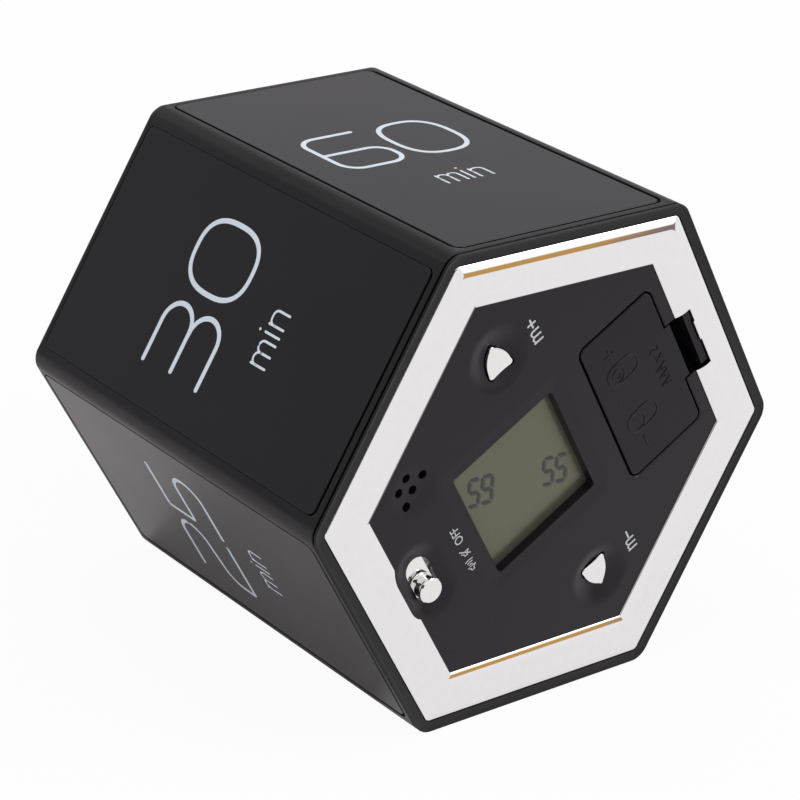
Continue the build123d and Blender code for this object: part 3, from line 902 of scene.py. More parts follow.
class Pen:
    """Draws lines of even width with round ends, as printed figures have them."""

    arc_steps = 8
    bevel_steps = 2
    dot_sides = 20
    dot_share = 0.45

    def __init__(self, width: float, thickness: float) -> None:
        """Chooses the line.

        Args:
            width: width of the line.
            thickness: how far it stands above the surface.
        """
        self.width = width
        self.thickness = thickness
        self.work = Workpiece()

    def rounded(self, path: Path) -> list[Vector]:
        """Points along a path of straight runs with round corners.

        Args:
            path: x, y and corner radius of each point.

        Returns:
            Points of the rounded path.
        """
        points = [Vector(stop[:2]) for stop in path]
        line = [points[0]]
        for before, here, after, stop in zip(points, points[1:], points[2:], path[1:]):
            radius = stop[2]
            come, leave = (before - here).normalized(), (after - here).normalized()
            half = come.angle(leave) / 2
            if radius <= 0 or half > STRAIGHT:
                line.append(here)
                continue
            middle = here + (come + leave).normalized() * radius / math.sin(half)
            start = here + come * radius / math.tan(half) - middle
            finish = here + leave * radius / math.tan(half) - middle
            sweep = math.atan2(start.x * finish.y - start.y * finish.x, start.dot(finish))
            for step in range(self.arc_steps + 1):
                line.append(middle + Matrix.Rotation(sweep * step / self.arc_steps, 2) @ start)
        line.append(points[-1])
        return line

    def stroke(self, path: Path, shift: Point = (0.0, 0.0), closed: bool = False) -> None:
        """Draws one line.

        Args:
            path: x, y and corner radius of each point.
            shift: where the figure's own origin lies.
            closed: whether the line ends where it starts.
        """
        line = [point + Vector(shift) for point in self.rounded(path)]
        curve = bpy.data.curves.new("line", "CURVE")
        curve.dimensions = "3D"
        curve.bevel_depth = self.width / 2
        curve.bevel_resolution = self.bevel_steps
        spline = curve.splines.new("POLY")
        spline.points.add(len(line) - 1)
        for knot, point in zip(spline.points, line):
            knot.co = (point.x, point.y, 0.0, 1.0)
        spline.use_cyclic_u = closed
        self.take(curve, Matrix.Diagonal((1.0, 1.0, self.thickness / self.width, 1.0)))
        for end in () if closed else (line[0], line[-1]):
            self.dot((end.x, end.y), self.width / 2)

    def ring(self, centre: Point, half: Point, power: float = 2.0, steps: int = 64) -> None:
        """Draws a closed oval.

        Args:
            centre: its middle.
            half: its half width and half height.
            power: 2 for an ellipse, more for a squarer oval.
            steps: number of points on it.
        """
        path = []
        for step in range(steps):
            angle = 2 * math.pi * step / steps
            c, s = math.cos(angle), math.sin(angle)
            x = centre[0] + half[0] * math.copysign(abs(c) ** (2 / power), c)
            y = centre[1] + half[1] * math.copysign(abs(s) ** (2 / power), s)
            path.append((x, y, 0.0))
        self.stroke(path, closed=True)

    def dot(self, centre: Point, radius: float) -> None:
        """Draws a round dot."""
        high = self.thickness * self.dot_share
        self.work.drum(centre, radius, -self.thickness / 2, high, self.dot_sides)

    def bar(self, start: Point, end: Point) -> None:
        """Draws a straight line between two points."""
        self.stroke([(*start, 0.0), (*end, 0.0)])

    def words(self, legend: Legend) -> None:
        """Sets a word.

        Args:
            legend: the word and its place.
        """
        letters = bpy.data.curves.new("word", "FONT")
        letters.body = legend.text
        letters.extrude = self.thickness / 2
        low, high = self.measure(letters)
        size = high - low
        fit = Matrix.Diagonal((legend.width / size.x, legend.height / size.y, 1.0, 1.0))
        shift = Matrix.Translation((*legend.left, 0.0))
        self.take(letters, shift @ fit @ Matrix.Translation((-low.x, -low.y, 0.0)))

    def measure(self, curve: bpy.types.Curve) -> tuple[Vector, Vector]:
        """Measures a curve.

        Args:
            curve: the curve or text.

        Returns:
            The lowest and the highest corner of its mesh.
        """
        mesh = self.as_mesh(curve)
        places = [vertex.co.copy() for vertex in mesh.vertices]
        bpy.data.meshes.remove(mesh)
        low = Vector(min(place[axis] for place in places) for axis in range(3))
        high = Vector(max(place[axis] for place in places) for axis in range(3))
        return low, high

    @staticmethod
    def as_mesh(curve: bpy.types.Curve) -> bpy.types.Mesh:
        """Turns a curve into a mesh.

        Args:
            curve: the curve or text.

        Returns:
            The mesh.
        """
        holder = put_in_scene("line", curve)
        bpy.context.view_layer.update()
        seen = holder.evaluated_get(bpy.context.evaluated_depsgraph_get())
        mesh = bpy.data.meshes.new_from_object(seen)
        bpy.data.objects.remove(holder)
        return mesh

    def take(self, curve: bpy.types.Curve, place: Matrix) -> None:
        """Adds a curve to the drawing as a mesh.

        Args:
            curve: the curve or text; it is used up.
            place: its place in the drawing.
        """
        mesh = self.as_mesh(curve)
        bpy.data.curves.remove(curve)
        mesh.transform(place)
        self.work.bm.from_mesh(mesh)
        bpy.data.meshes.remove(mesh)


@dataclass
class Cup(SubAssembly):
    """Six-sided cup with plate recesses, rounded long edges and a stepped front rim."""

    plate_width: float = 30.9
    plate_front: float = 1.9
    plate_back_margin: float = 1.25
    plate_depth: float = 0.45
    plate_corner: float = 1.0
    plate_gap: float = 0.08
    side_gaps: ClassVar[dict[Side, float]] = {Side.SIXTY: 0.4, Side.THIRTY: 0.03, Side.TWENTY_FIVE: 0.26}
    front_gap: float = 0.42
    first_inset: float = 1.0
    brim_round: float = 0.1
    brim_angle: float = 1.0
    long_round: float = 2.4
    front_round: float = 0.15
    back_round: float = 0.6
    groove_top: float = 0.22
    groove_foot: float = 0.62
    groove_depth: float = 0.5
    rim_slope: float = 0.35
    rim_drop: float = 0.15
    rim_flat: float = 0.9
    rim_depth: float = 3.2
    shoulder: float = 0.9
    back_wall: float = 2.0
    wall_slope: float = 0.02
    long_steps: int = 7
    back_steps: int = 4
    corner_steps: int = 5
    edge_steps: int = 3

    def build(self) -> None:
        """Models the cup and sets it in the part."""
        placer = self.placer
        work = Workpiece()
        bm = work.bm
        work.hexagon(placer.apothem, 0.0, True)
        bm.faces.ensure_lookup_table()
        work.raise_face(bm.faces[0], (0.0, 0.0, -placer.length))
        bmesh.ops.recalc_face_normals(bm, faces=bm.faces)
        work.bevel(work.upright_edges(bm.verts), self.long_round * math.tan(SIDE_TURN / 2), self.long_steps)
        work.bevel(work.level_edges(-placer.length), self.back_round, self.back_steps)
        bm.normal_update()
        upright = [face for face in bm.faces if abs(face.normal.z) < UPRIGHT]
        for side in sorted(upright, key=lambda face: face.calc_area())[-SIDES:]:
            self.sink_side(work, side)
        self.score_groove(work)
        work.bevel(work.level_edges(0.0), self.front_round, self.edge_steps)
        self.open_front(work)
        self.settle(work, "moulded_cup", Body.TIMER, "shell_plastic", SHELL_BLACK, ["main_shell"])

    def sink_side(self, work: Workpiece, side: Face) -> None:
        """Sinks the recess for one number plate.

        Args:
            work: the cup.
            side: face of the side.
        """
        placer, bm = self.placer, work.bm
        outward = side.normal.copy()
        along = outward.cross(Vector((0.0, 0.0, 1.0)))
        facing = Side(round(math.degrees(math.atan2(outward.y, outward.x))) % FULL_CIRCLE)
        gap = self.side_gaps.get(facing, self.plate_gap)
        half = self.plate_width / 2 + gap
        front = -self.plate_front + self.front_gap
        back = -placer.length + self.plate_back_margin - self.plate_gap
        bmesh.ops.inset_individual(bm, faces=[side], thickness=self.first_inset, use_even_offset=True)
        for vert in side.verts:
            reach = math.copysign(half, vert.co.dot(along))
            height = front if vert.co.z > -placer.length / 2 else back
            vert.co = outward * placer.apothem + along * reach + Vector((0.0, 0.0, height))
        brim = set(side.verts)
        bmesh.ops.inset_individual(
            bm, faces=[side], thickness=self.wall_slope, depth=-self.plate_depth, use_even_offset=True
        )
        floor = set(side.verts)
        corners = work.edges_where(
            lambda edge: all(len(ring.intersection(edge.verts)) == 1 for ring in (brim, floor))
        )
        work.bevel(corners, self.plate_corner + gap, self.corner_steps)
        brim_edges = work.edges_where(
            lambda edge: edge.calc_face_angle(0.0) > self.brim_angle
            and all(
                abs(v.co.dot(outward) - placer.apothem) < SAME and SAME < -v.co.z < placer.length - SAME
                for v in edge.verts
            )
        )
        work.bevel(brim_edges, self.brim_round, self.edge_steps)

    def score_groove(self, work: Workpiece) -> None:
        """Scores the fine groove that runs round the outside behind the rim.

        Args:
            work: the cup.
        """
        bm = work.bm
        for depth in (self.groove_top, self.groove_foot):
            work.split((0.0, 0.0, -depth), (0.0, 0.0, 1.0))
        high, low = -self.groove_top + SAME, -self.groove_foot - SAME
        band = [face for face in bm.faces if all(low < v.co.z < high for v in face.verts)]
        bm.normal_update()
        work.inset(band, self.wall_slope, -self.groove_depth)
        work.bevel(work.level_edges(-self.groove_foot), self.brim_round, self.edge_steps)

    def open_front(self, work: Workpiece) -> None:
        """Hollows the cup from its front rim.

        Args:
            work: the cup.
        """
        work.bm.normal_update()
        level = [face for face in work.bm.faces if abs(face.calc_center_median().z) < SAME]
        cap = max(level, key=lambda face: face.calc_area())
        hollow = self.placer.length - self.back_wall - self.rim_depth
        for inset, depth in (
            (self.rim_slope, -self.rim_drop),
            (self.rim_flat, 0.0),
            (self.wall_slope, self.rim_drop - self.rim_depth),
            (self.shoulder, 0.0),
            (self.wall_slope, -hollow),
        ):
            work.inset([cap], inset, depth)


@dataclass
class NumberPlates(SubAssembly):
    """Six glossy plates let into the sides, each printed with its minutes."""

    cup: Cup
    edge_round: float = 0.1
    edge_steps: int = 4
    corner_steps: int = 6
    sink: float = 0.03
    line: float = 0.66
    small_line: float = 0.31
    ink: float = 0.03
    figure_foot: float = 29.0
    figure_height: float = 11.3
    figure_width: float = 9.0
    left_figure: float = -10.4
    right_figure: float = 0.5
    narrowing: float = 0.8
    oval_extra: Point = (0.1, 0.05)
    oval_power: float = 2.6
    one_flag: Point = (0.3, 0.8)
    one_stem: float = 0.55
    one_round: float = 0.3
    three_step: float = 0.055
    two_shoulder: float = 1.12
    two_knee: Point = (0.02, 0.82)
    two_round: float = 0.4
    five_round: float = 0.5
    six_reach: float = 0.93
    six_waist: float = 0.98
    six_back_round: float = 2.6
    six_bowl_round: float = 2.4
    word_foot: float = 19.69
    word_height: float = 2.73
    m_legs: tuple[float, ...] = (-3.88, -2.38, -0.92)
    i_leg: float = 0.07
    n_legs: tuple[float, ...] = (1.15, 2.98)
    arch_round: float = 0.75
    arch_drop: float = 1.22
    dot_rise: float = 1.03
    dot_share: float = 0.6
    bearings: ClassVar[dict[str, float]] = {"2": 0.5, "3": 0.3, "5": 0.35}
    print_shifts: ClassVar[dict[Side, Point]] = {Side.SIXTY: (0.0, -0.55)}
    word_shifts: ClassVar[dict[Side, float]] = {Side.SIXTY: 1.14}

    def build(self) -> None:
        """Models the plates and their prints."""
        for side in Side:
            place = self.placer.side(side) @ Matrix.Translation((0.0, 0.0, -self.sink))
            plate, print_ = self.plate(), self.figures(side)
            for work in (plate, print_):
                work.turn(place)
            name = side.minutes
            self.settle(plate, f"plate_{name}", Body.TIMER, "plate_plastic", PLATE_BLACK, [side.node])
            self.settle(print_, f"minutes_{name}", Body.TIMER, "plate_plastic", PLATE_INK)

    def plate(self) -> Workpiece:
        """Models one plate.

        Returns:
            The plate in its side's frame.
        """
        cup = self.cup
        length = self.placer.length - cup.plate_front - cup.plate_back_margin
        middle = (0.0, cup.plate_front + length / 2)
        work = Workpiece()
        verts = work.block(middle, (cup.plate_width, length), self.sink - cup.plate_depth, 0.0)
        work.bevel(work.upright_edges(verts), cup.plate_corner, self.corner_steps)
        work.bevel(work.level_edges(0.0), self.edge_round, self.edge_steps)
        return work

    def figures(self, side: Side) -> Workpiece:
        """Draws the minutes and the unit of one plate.

        Args:
            side: the plate's side.

        Returns:
            The print in its side's frame.
        """
        pen = Pen(self.line, self.ink)
        minutes = side.minutes
        starts = (self.left_figure, self.right_figure) if len(minutes) == 2 else (-self.figure_width / 2,)
        for figure, start in zip(minutes, starts):
            self.figure(pen, figure, (start + self.bearings.get(figure, 0.0), self.figure_foot))
        self.unit(pen, self.word_shifts.get(side, 0.0))
        pen.work.turn(Matrix.Translation((*self.print_shifts.get(side, (0.0, 0.0)), 0.0)))
        return pen.work

    def figure(self, pen: Pen, figure: str, shift: Point) -> None:
        """Draws one figure.

        Args:
            pen: the pen.
            figure: the figure, as a character.
            shift: its lower left corner.
        """
        half_wide, half_high = self.figure_width / 2, self.figure_height / 2
        if figure == "0":
            middle = (shift[0] + half_wide, shift[1] + half_high)
            extra = self.oval_extra
            pen.ring(middle, (half_wide + extra[0], half_high + extra[1]), self.oval_power)
            return
        for path in self.paths(figure):
            pen.stroke(path, shift)

    def paths(self, figure: str) -> list[Path]:
        """Lines of a figure other than nought.

        Args:
            figure: the figure, as a character.

        Returns:
            Each line's points with their corner radius, from the figure's lower left corner.
        """
        wide, high = self.figure_width, self.figure_height
        waist = high / 2
        bowl = waist / 2
        lap, step = self.line / 2, self.three_step
        narrow = wide - self.narrowing
        flag = (wide * self.one_flag[0], high * self.one_flag[1])
        stem, belt = wide * self.one_stem, waist * self.six_waist
        return {
            "1": [
                [(flag[0], flag[1], 0), (stem, high, self.one_round), (stem, 0, 0)],
            ],
            "2": [
                [
                    (0, high, 0),
                    (wide, high, bowl),
                    (wide, waist * self.two_shoulder, bowl),
                    (wide * self.two_knee[0], waist * self.two_knee[1], bowl),
                    (0, 0, self.two_round),
                    (wide, 0, 0),
                ],
            ],
            "3": [
                [(0, high, 0), (narrow, high, bowl), (narrow, waist, bowl), (lap, waist, 0)],
                [
                    (narrow - bowl - lap, waist - step, 0),
                    (narrow, waist - step, bowl - step),
                    (narrow, 0, bowl - step),
                    (0, 0, 0),
                ],
            ],
            "5": [
                [
                    (narrow - lap, high, 0),
                    (lap, high, self.five_round),
                    (lap, waist, self.five_round),
                    (wide, waist, bowl),
                    (wide, 0, bowl),
                    (0, 0, 0),
                ],
            ],
            "6": [
                [
                    (wide * self.six_reach, high, 0),
                    (0, high, self.six_back_round),
                    (0, 0, self.six_back_round),
                    (wide, 0, self.six_bowl_round),
                    (wide, belt, self.six_bowl_round),
                    (0, belt, 0),
                ],
            ],
        }[figure]

    def unit(self, pen: Pen, shift: float) -> None:
        """Draws the small word for minutes under the figures.

        Args:
            pen: the pen with the plate's drawing.
            shift: how far the word lies to the right of its usual place.
        """
        small = Pen(self.small_line, self.ink)
        foot, top = self.word_foot, self.word_foot + self.word_height
        bend, spring = self.arch_round, top - self.arch_drop
        for stem in (self.m_legs[0], self.i_leg, self.n_legs[0]):
            small.bar((stem, foot), (stem, top))
        for legs in (self.m_legs, self.n_legs):
            for left, right in zip(legs, legs[1:]):
                small.stroke([(left, spring, 0), (left, top, bend), (right, top, bend), (right, foot, 0)])
        small.dot((self.i_leg, top + self.dot_rise), self.small_line * self.dot_share)
        small.work.turn(Matrix.Translation((shift, 0.0, 0.0)))
        pen.work.absorb(small.work)


@dataclass
class PanelLayout:
    """Places on the front that several sub-assemblies share."""

    face: float = -0.4
    back: float = -2.2
    apothem: float = 23.4
    lcd: Point = (-3.7, 1.05)
    window: float = 16.35
    window_corner: float = 0.45
    glass_front: float = -1.85
    button_u: float = -0.1
    button_v: float = 19.05
    button_shift: float = -0.25
    switch: Point = (-20.7, 0.45)
    switch_travel: float = 3.2
    slot_radius: float = 1.7
    dish_half_run: float = 2.1
    dish_depth: float = 0.9
    bite_radius: float = 3.6
    bite_run: float = 2.2
    bite_shift: float = 0.5
    sound: Point = (-16.8, 12.5)
    door: Point = (15.65, -0.05)
    door_size: Point = (11.9, 21.7)
    door_gap: float = 0.26
    door_corner: float = 1.0
    tongue_u: float = 22.5
    tongue_width: float = 8.5
    grip_u: float = 24.4
    notch_u: float = 25.56
    step: float = 0.2
    step_width: float = 3.0
    step_v: float = 0.9
    seat: float = -1.7
    overlap: float = 1.0
    step_margin: float = 0.1
    slot_steps: int = 14

    def button(self, hand: int) -> Point:
        """Returns the middle of a button; hand is 1 for plus and -1 for minus."""
        return self.button_u, self.button_shift + hand * self.button_v

    def notch(self, cutter: Workpiece, low: float, high: float) -> None:
        """Adds the cutter for the stepped notch that the latch stands in.

        Args:
            cutter: shape that takes it.
            low: height of its foot.
            high: height of its top.
        """
        start = self.door[0] + self.door_size[0] / 2 - self.overlap
        half = self.tongue_width / 2 + self.door_gap
        inner = self.notch_u - self.step
        cutter.block(((start + inner) / 2, self.door[1]), (inner - start, 2 * half), low, high)
        for hand in (-1, 1):
            edge, end = self.step_v + hand * self.step_width / 2, self.door[1] + hand * half
            size = (2 * self.step, abs(end - edge))
            cutter.block((inner, (edge + end) / 2), size, low - self.step_margin, high + self.step_margin)

    def rounded_slot(
        self, work: Workpiece, radius: float, run: float, low: float, high: float, shift: float = 0.0
    ) -> None:
        """Adds a cutter with round ends at the slide switch.

        Args:
            work: shape that takes the cutter.
            radius: radius of its ends.
            run: half the distance between their middles.
            low: height of its foot.
            high: height of its top.
            shift: how far it lies from the middle of the switch's travel.
        """
        middle = (self.switch[0], self.switch[1] + shift)
        verts = work.block(middle, (2 * radius, 2 * (run + radius)), low, high)
        work.bevel(work.upright_edges(verts), radius * ROUND_END, self.slot_steps)


@dataclass
class Bezel(SubAssembly):
    """Chrome ring with sloped edges, notched for the latch and hollowed at the slide switch."""

    layout: PanelLayout
    outer: float = 29.1
    inner: float = 23.45
    top: float = 0.2
    slope: float = 0.8
    shoulder: float = -0.18
    lip: float = -0.3
    corner: float = 0.7
    crease: float = 0.75
    lip_round: float = 0.1
    corner_steps: int = 5
    crease_steps: int = 8
    lip_steps: int = 3

    def build(self) -> None:
        """Models the ring and sets it in the part."""
        work = self.ring()
        self.soften(work)
        self.cut(work)
        for edge in self.rising(work, False):
            start, end = (vert.co.xy for vert in edge.verts)
            edge.seam = abs(start.angle_signed(end)) < SAME
        self.settle(work, "bezel_ring", Body.TIMER, "bezel_chrome", CHROME, ["chrome_bezel"])

    def ring(self) -> Workpiece:
        """Draws the ring's section round the six sides.

        Returns:
            The ring with sharp edges.
        """
        seat = self.layout.seat
        section = (
            (self.outer, self.shoulder),
            (self.outer - self.slope, self.top),
            (self.inner + self.slope, self.top),
            (self.inner, self.lip),
            (self.inner, seat),
        )
        work = Workpiece()
        bm = work.bm
        work.hexagon(self.outer, seat, False)
        first = list(bm.edges)
        loop, reach, height = first, self.outer, seat
        for next_reach, next_height in section:
            made = bmesh.ops.extrude_edge_only(bm, edges=loop)["geom"]
            verts = verts_in(made)
            loop = [item for item in made if isinstance(item, Edge) and all(v in verts for v in item.verts)]
            ratio = next_reach / reach
            bmesh.ops.scale(bm, vec=(ratio, ratio, 1.0), verts=verts)
            bmesh.ops.translate(bm, vec=(0.0, 0.0, next_height - height), verts=verts)
            reach, height = next_reach, next_height
        bmesh.ops.bridge_loops(bm, edges=first + loop)
        return work

    def beside(self, edge: Edge, outside: bool) -> bool:
        """Tells whether an edge lies outside, or inside, the ring's middle line."""
        middle = (self.outer + self.inner) / 2 * CORNER_RATIO
        return all((vert.co.xy.length > middle) == outside for vert in edge.verts)

    def rising(self, work: Workpiece, outside: bool) -> list[Edge]:
        """Returns the edges on one side of the middle line that run up or down."""
        edges = [edge for edge in work.bm.edges if self.beside(edge, outside)]
        return [edge for edge in edges if abs(edge.verts[0].co.z - edge.verts[1].co.z) > SAME]

    def soften(self, work: Workpiece) -> None:
        """Rounds the slopes' creases, their ends and the outer corners.

        Args:
            work: the ring.
        """
        for outside in (True, False):
            crease = [edge for edge in work.level_edges(self.top) if self.beside(edge, outside)]
            work.bevel(crease, self.crease, self.crease_steps)
        for height in (self.shoulder, self.lip):
            work.bevel(work.level_edges(height), self.lip_round, self.lip_steps)
        work.bevel(self.rising(work, True), self.corner * math.tan(SIDE_TURN / 2), self.corner_steps)

    def cut(self, work: Workpiece) -> None:
        """Cuts the latch's notch and the hollow at the slide switch.

        Args:
            work: the ring.
        """
        layout = self.layout
        low, high = layout.seat - layout.overlap, self.top + layout.overlap
        notch, bite = Workpiece(), Workpiece()
        layout.notch(notch, low, high)
        layout.rounded_slot(bite, layout.bite_radius, layout.bite_run, low, high, layout.bite_shift)
        for cutter in (notch, bite):
            work.carve(cutter)


@dataclass(frozen=True)
class Hollow:
    """A soft-edged hollow in the panel's face, round a point or round a flat rectangle."""

    centre: Point
    flat: Point
    radius: float
    depth: float
    power: float = 1.6

    def drop(self, u: float, v: float) -> float:
        """Depth of the hollow at a point.

        Args:
            u: place across the panel.
            v: place along the panel.

        Returns:
            How far the face lies below the flat of the panel.
        """
        aside = max(0.0, abs(u - self.centre[0]) - self.flat[0])
        above = max(0.0, abs(v - self.centre[1]) - self.flat[1])
        share = min(1.0, math.hypot(aside, above) / self.radius)
        return self.depth * (1 - share**2) ** self.power


@dataclass
class DisplayPanel(SubAssembly):
    """Matt panel with soft dishes, openings, prints and the display behind its window."""

    layout: PanelLayout
    buttons: "Buttons"
    cells: int = 150
    grid_margin: float = 1.02
    flange_outer: float = 29.0
    flange_inner: float = 21.9
    flange_back: float = -3.2
    button_dish: float = 4.3
    button_dish_depth: float = 1.05
    sound_dish: float = 3.4
    sound_dish_depth: float = 0.25
    switch_dish: float = 3.5
    window_slope: float = 2.0
    window_drop: float = 0.08
    window_flare: float = 0.06
    door_flare: float = 0.12
    flare_reach: float = 6.0
    corner_steps: int = 5
    notch_margin: float = 0.5
    tuck: float = 1.0
    sound_hole: float = 0.58
    sound_sides: int = 24
    sound_ring: float = 2.1
    sound_angles: tuple[int, ...] = (24, 93, 147, 216)
    ink: float = 0.02
    letter_line: float = 0.26
    icon_line: float = 0.14
    legends: ClassVar[tuple[Legend, ...]] = (
        Legend("m", (16.6, -6.4), 1.5, 1.9),
        Legend("m", (-19.9, -6.4), 1.5, 1.8),
        Legend("OFF", (1.15, 14.05), 1.2, 2.55),
    )
    signs: ClassVar[tuple[tuple[Point, Point], ...]] = (
        ((18.85, -5.65), (20.0, -5.65)),
        ((19.42, -6.2), (19.42, -5.1)),
        ((-17.9, -5.65), (-16.95, -5.65)),
    )
    speaker_foot: float = 14.05
    speaker_height: float = 1.2
    speaker_half: float = 0.2
    speaker_neck: float = 0.25
    speaker_mouth: float = 0.6
    loud_left: float = -3.45
    loud_waves: int = 3
    mute_left: float = -0.95
    mute_margin: float = 0.05
    mute_width: float = 1.05
    wave_start: float = 0.95
    wave_step: float = 0.35
    wave_half: float = 0.22
    wave_growth: float = 0.16
    wave_bow: float = 0.08
    wave_round: float = 0.2
    glass: Point = (19.0, 21.0)
    glass_thickness: float = 0.5
    glass_round: float = 0.12
    glass_steps: int = 2

    def build(self) -> None:
        """Models the panel, its prints and the display."""
        work = self.plate()
        work.carve(self.openings())
        self.settle(work, "display_panel", Body.TIMER, "panel_plastic", PANEL_BLACK, ["front_panel"])
        self.settle(self.prints(), "panel_prints", Body.TIMER, "panel_plastic", PANEL_INK)
        self.display()

    def hollows(self) -> list[Hollow]:
        """Lists the hollows of the buttons, the sound holes, the switch and the window.

        Returns:
            The hollows.
        """
        layout = self.layout
        point, run, window = (0.0, 0.0), (0.0, layout.dish_half_run), (layout.window / 2, layout.window / 2)
        return [
            Hollow(layout.button(-1), point, self.button_dish, self.button_dish_depth),
            Hollow(layout.button(1), point, self.button_dish, self.button_dish_depth),
            Hollow(layout.sound, point, self.sound_dish, self.sound_dish_depth),
            Hollow(layout.switch, run, self.switch_dish, layout.dish_depth),
            Hollow(layout.lcd, window, self.window_slope, self.window_drop),
        ]

    def plate(self) -> Workpiece:
        """Models the panel's plate and flange.

        Returns:
            The panel without its openings.
        """
        layout = self.layout
        work = Workpiece()
        bm = work.bm
        half = layout.apothem * CORNER_RATIO * self.grid_margin
        bmesh.ops.create_grid(bm, x_segments=self.cells, y_segments=self.cells, size=half)
        for side in Side:
            angle = math.radians(side.value)
            outward = Vector((math.cos(angle), math.sin(angle), 0.0))
            reach = layout.apothem + (self.tuck if side is Side.TWENTY_FIVE else 0.0)
            work.split(outward * reach, outward, True)
        hollows = self.hollows()
        for vert in bm.verts:
            vert.co.z = layout.face - max(hollow.drop(vert.co.x, vert.co.y) for hollow in hollows)
        for vert in verts_in(bmesh.ops.extrude_face_region(bm, geom=list(bm.faces))["geom"]):
            vert.co.z = layout.back
        for reach in (self.flange_outer, self.flange_inner):
            work.hexagon(reach, layout.seat, False)
        rims = [edge for edge in bm.edges if edge.is_wire]
        top = bmesh.ops.bridge_loops(bm, edges=rims)["faces"]
        raised = verts_in(bmesh.ops.extrude_face_region(bm, geom=top)["geom"])
        bmesh.ops.translate(bm, vec=(0.0, 0.0, self.flange_back - layout.seat), verts=raised)
        return work

    def openings(self) -> Workpiece:
        """Models everything that is cut through the panel.

        Returns:
            The cutters as one shape.
        """
        layout = self.layout
        low, high = self.flange_back - layout.overlap, layout.face + layout.overlap
        cutter = Workpiece()
        lip = layout.face - self.window_drop
        window = (layout.window, layout.window)
        self.cut_flared(cutter, layout.lcd, window, layout.window_corner, low, lip, self.window_flare)
        gap = layout.door_gap
        size = (layout.door_size[0] + 2 * gap, layout.door_size[1] + 2 * gap)
        corner = layout.door_corner + gap
        self.cut_flared(cutter, layout.door, size, corner, low, layout.face, self.door_flare)
        layout.notch(cutter, low - self.notch_margin, high + self.notch_margin)
        for hand in (-1, 1):
            self.buttons.outline(cutter, hand, self.buttons.fit, low, high)
        layout.rounded_slot(cutter, layout.slot_radius, layout.switch_travel / 2, low, high)
        holes = [layout.sound]
        for degrees in self.sound_angles:
            angle = math.radians(degrees)
            u = layout.sound[0] + self.sound_ring * math.cos(angle)
            v = layout.sound[1] + self.sound_ring * math.sin(angle)
            holes.append((u, v))
        for hole in holes:
            cutter.drum(hole, self.sound_hole, low, high, self.sound_sides)
        return cutter

    def cut_flared(
        self,
        cutter: Workpiece,
        centre: Point,
        size: Point,
        corner: float,
        low: float,
        lip: float,
        flare: float,
    ) -> None:
        """Adds the cutter for an opening that flares where it meets the panel's face.

        Args:
            cutter: shape that takes it.
            centre: middle of the opening.
            size: its two sides.
            corner: radius of its corners.
            low: height of its foot.
            lip: height of the panel's face at the opening.
            flare: width of the flare at the face.
        """
        known = set(cutter.bm.faces)
        foot = lip - flare
        verts = cutter.block(centre, size, low, foot)
        cutter.bevel(cutter.upright_edges(verts), corner, self.corner_steps)
        fresh = [face for face in cutter.bm.faces if face not in known]
        mouth = [face for face in fresh if all(abs(v.co.z - foot) < SAME for v in face.verts)][0]
        reach = self.flare_reach * flare
        moved = cutter.raise_face(mouth, (0.0, 0.0, reach))
        place = Matrix.Translation((*centre, 0.0))
        spread = Matrix.Diagonal((1 + 2 * reach / size[0], 1 + 2 * reach / size[1], 1.0, 1.0))
        bmesh.ops.transform(cutter.bm, matrix=place @ spread @ place.inverted(), verts=moved)

    def prints(self) -> Workpiece:
        """Draws the legends of the buttons and the switch.

        Returns:
            The print in the panel's frame.
        """
        letters = Pen(self.letter_line, self.ink)
        for legend in self.legends:
            letters.words(legend)
        for start, end in self.signs:
            letters.bar(start, end)
        icons = Pen(self.icon_line, self.ink)
        self.speaker(icons, self.loud_left, self.loud_waves)
        self.speaker(icons, self.mute_left, 0)
        letters.work.absorb(icons.work)
        letters.work.turn(Matrix.Translation((0.0, 0.0, self.layout.face + self.ink / 2)) @ QUARTER_TURN)
        return letters.work

    def speaker(self, pen: Pen, left: float, waves: int) -> None:
        """Draws the small sounder sign of the switch.

        Args:
            pen: the pen.
            left: left end of the sign.
            waves: number of sound waves; none makes the muted sign.
        """
        foot, top = self.speaker_foot, self.speaker_foot + self.speaker_height
        middle = (foot + top) / 2
        low, high = middle - self.speaker_half, middle + self.speaker_half
        neck, mouth = left + self.speaker_neck, left + self.speaker_mouth
        pen.stroke([(left, low, 0), (left, high, 0), (neck, high, 0)])
        pen.stroke([(neck, high, 0), (mouth, top, 0), (mouth, foot, 0)])
        pen.stroke([(mouth, foot, 0), (neck, low, 0), (left, low, 0)])
        for wave in range(waves):
            reach = left + self.wave_start + self.wave_step * wave
            tall, ends = self.wave_half + self.wave_growth * wave, reach - self.wave_bow
            pen.stroke([(ends, middle - tall, 0), (reach, middle, self.wave_round), (ends, middle + tall, 0)])
        if waves == 0:
            margin = self.mute_margin
            pen.bar((left - margin, foot - margin), (left + self.mute_width, top + margin))

    def display(self) -> None:
        """Models the display's glass, the segments that show and a painted shadow of the segments."""
        layout = self.layout
        work = Workpiece()
        middle = (layout.lcd[0], layout.lcd[1] + (self.glass[1] - self.glass[0]) / 2)
        work.block(middle, self.glass, layout.glass_front - self.glass_thickness, layout.glass_front)
        work.bevel(work.bm.edges, self.glass_round, self.glass_steps)
        self.settle(work, "display_glass", Body.TIMER, "display_glass", DISPLAY_FILM, ["lcd_front_glass"])
        figures = SegmentFigures(layout)
        # The shifted copy is a painted shadow of the figures, not a part of the display.
        shade, lit = figures.draw(figures.painted_shadow_shift), figures.draw((0.0, 0.0))
        self.settle(shade, "display_painted_shadow", Body.TIMER, "display_glass", SEGMENT_PAINTED_SHADOW)
        self.settle(lit, "display_figures", Body.TIMER, "display_glass", SEGMENT_INK)


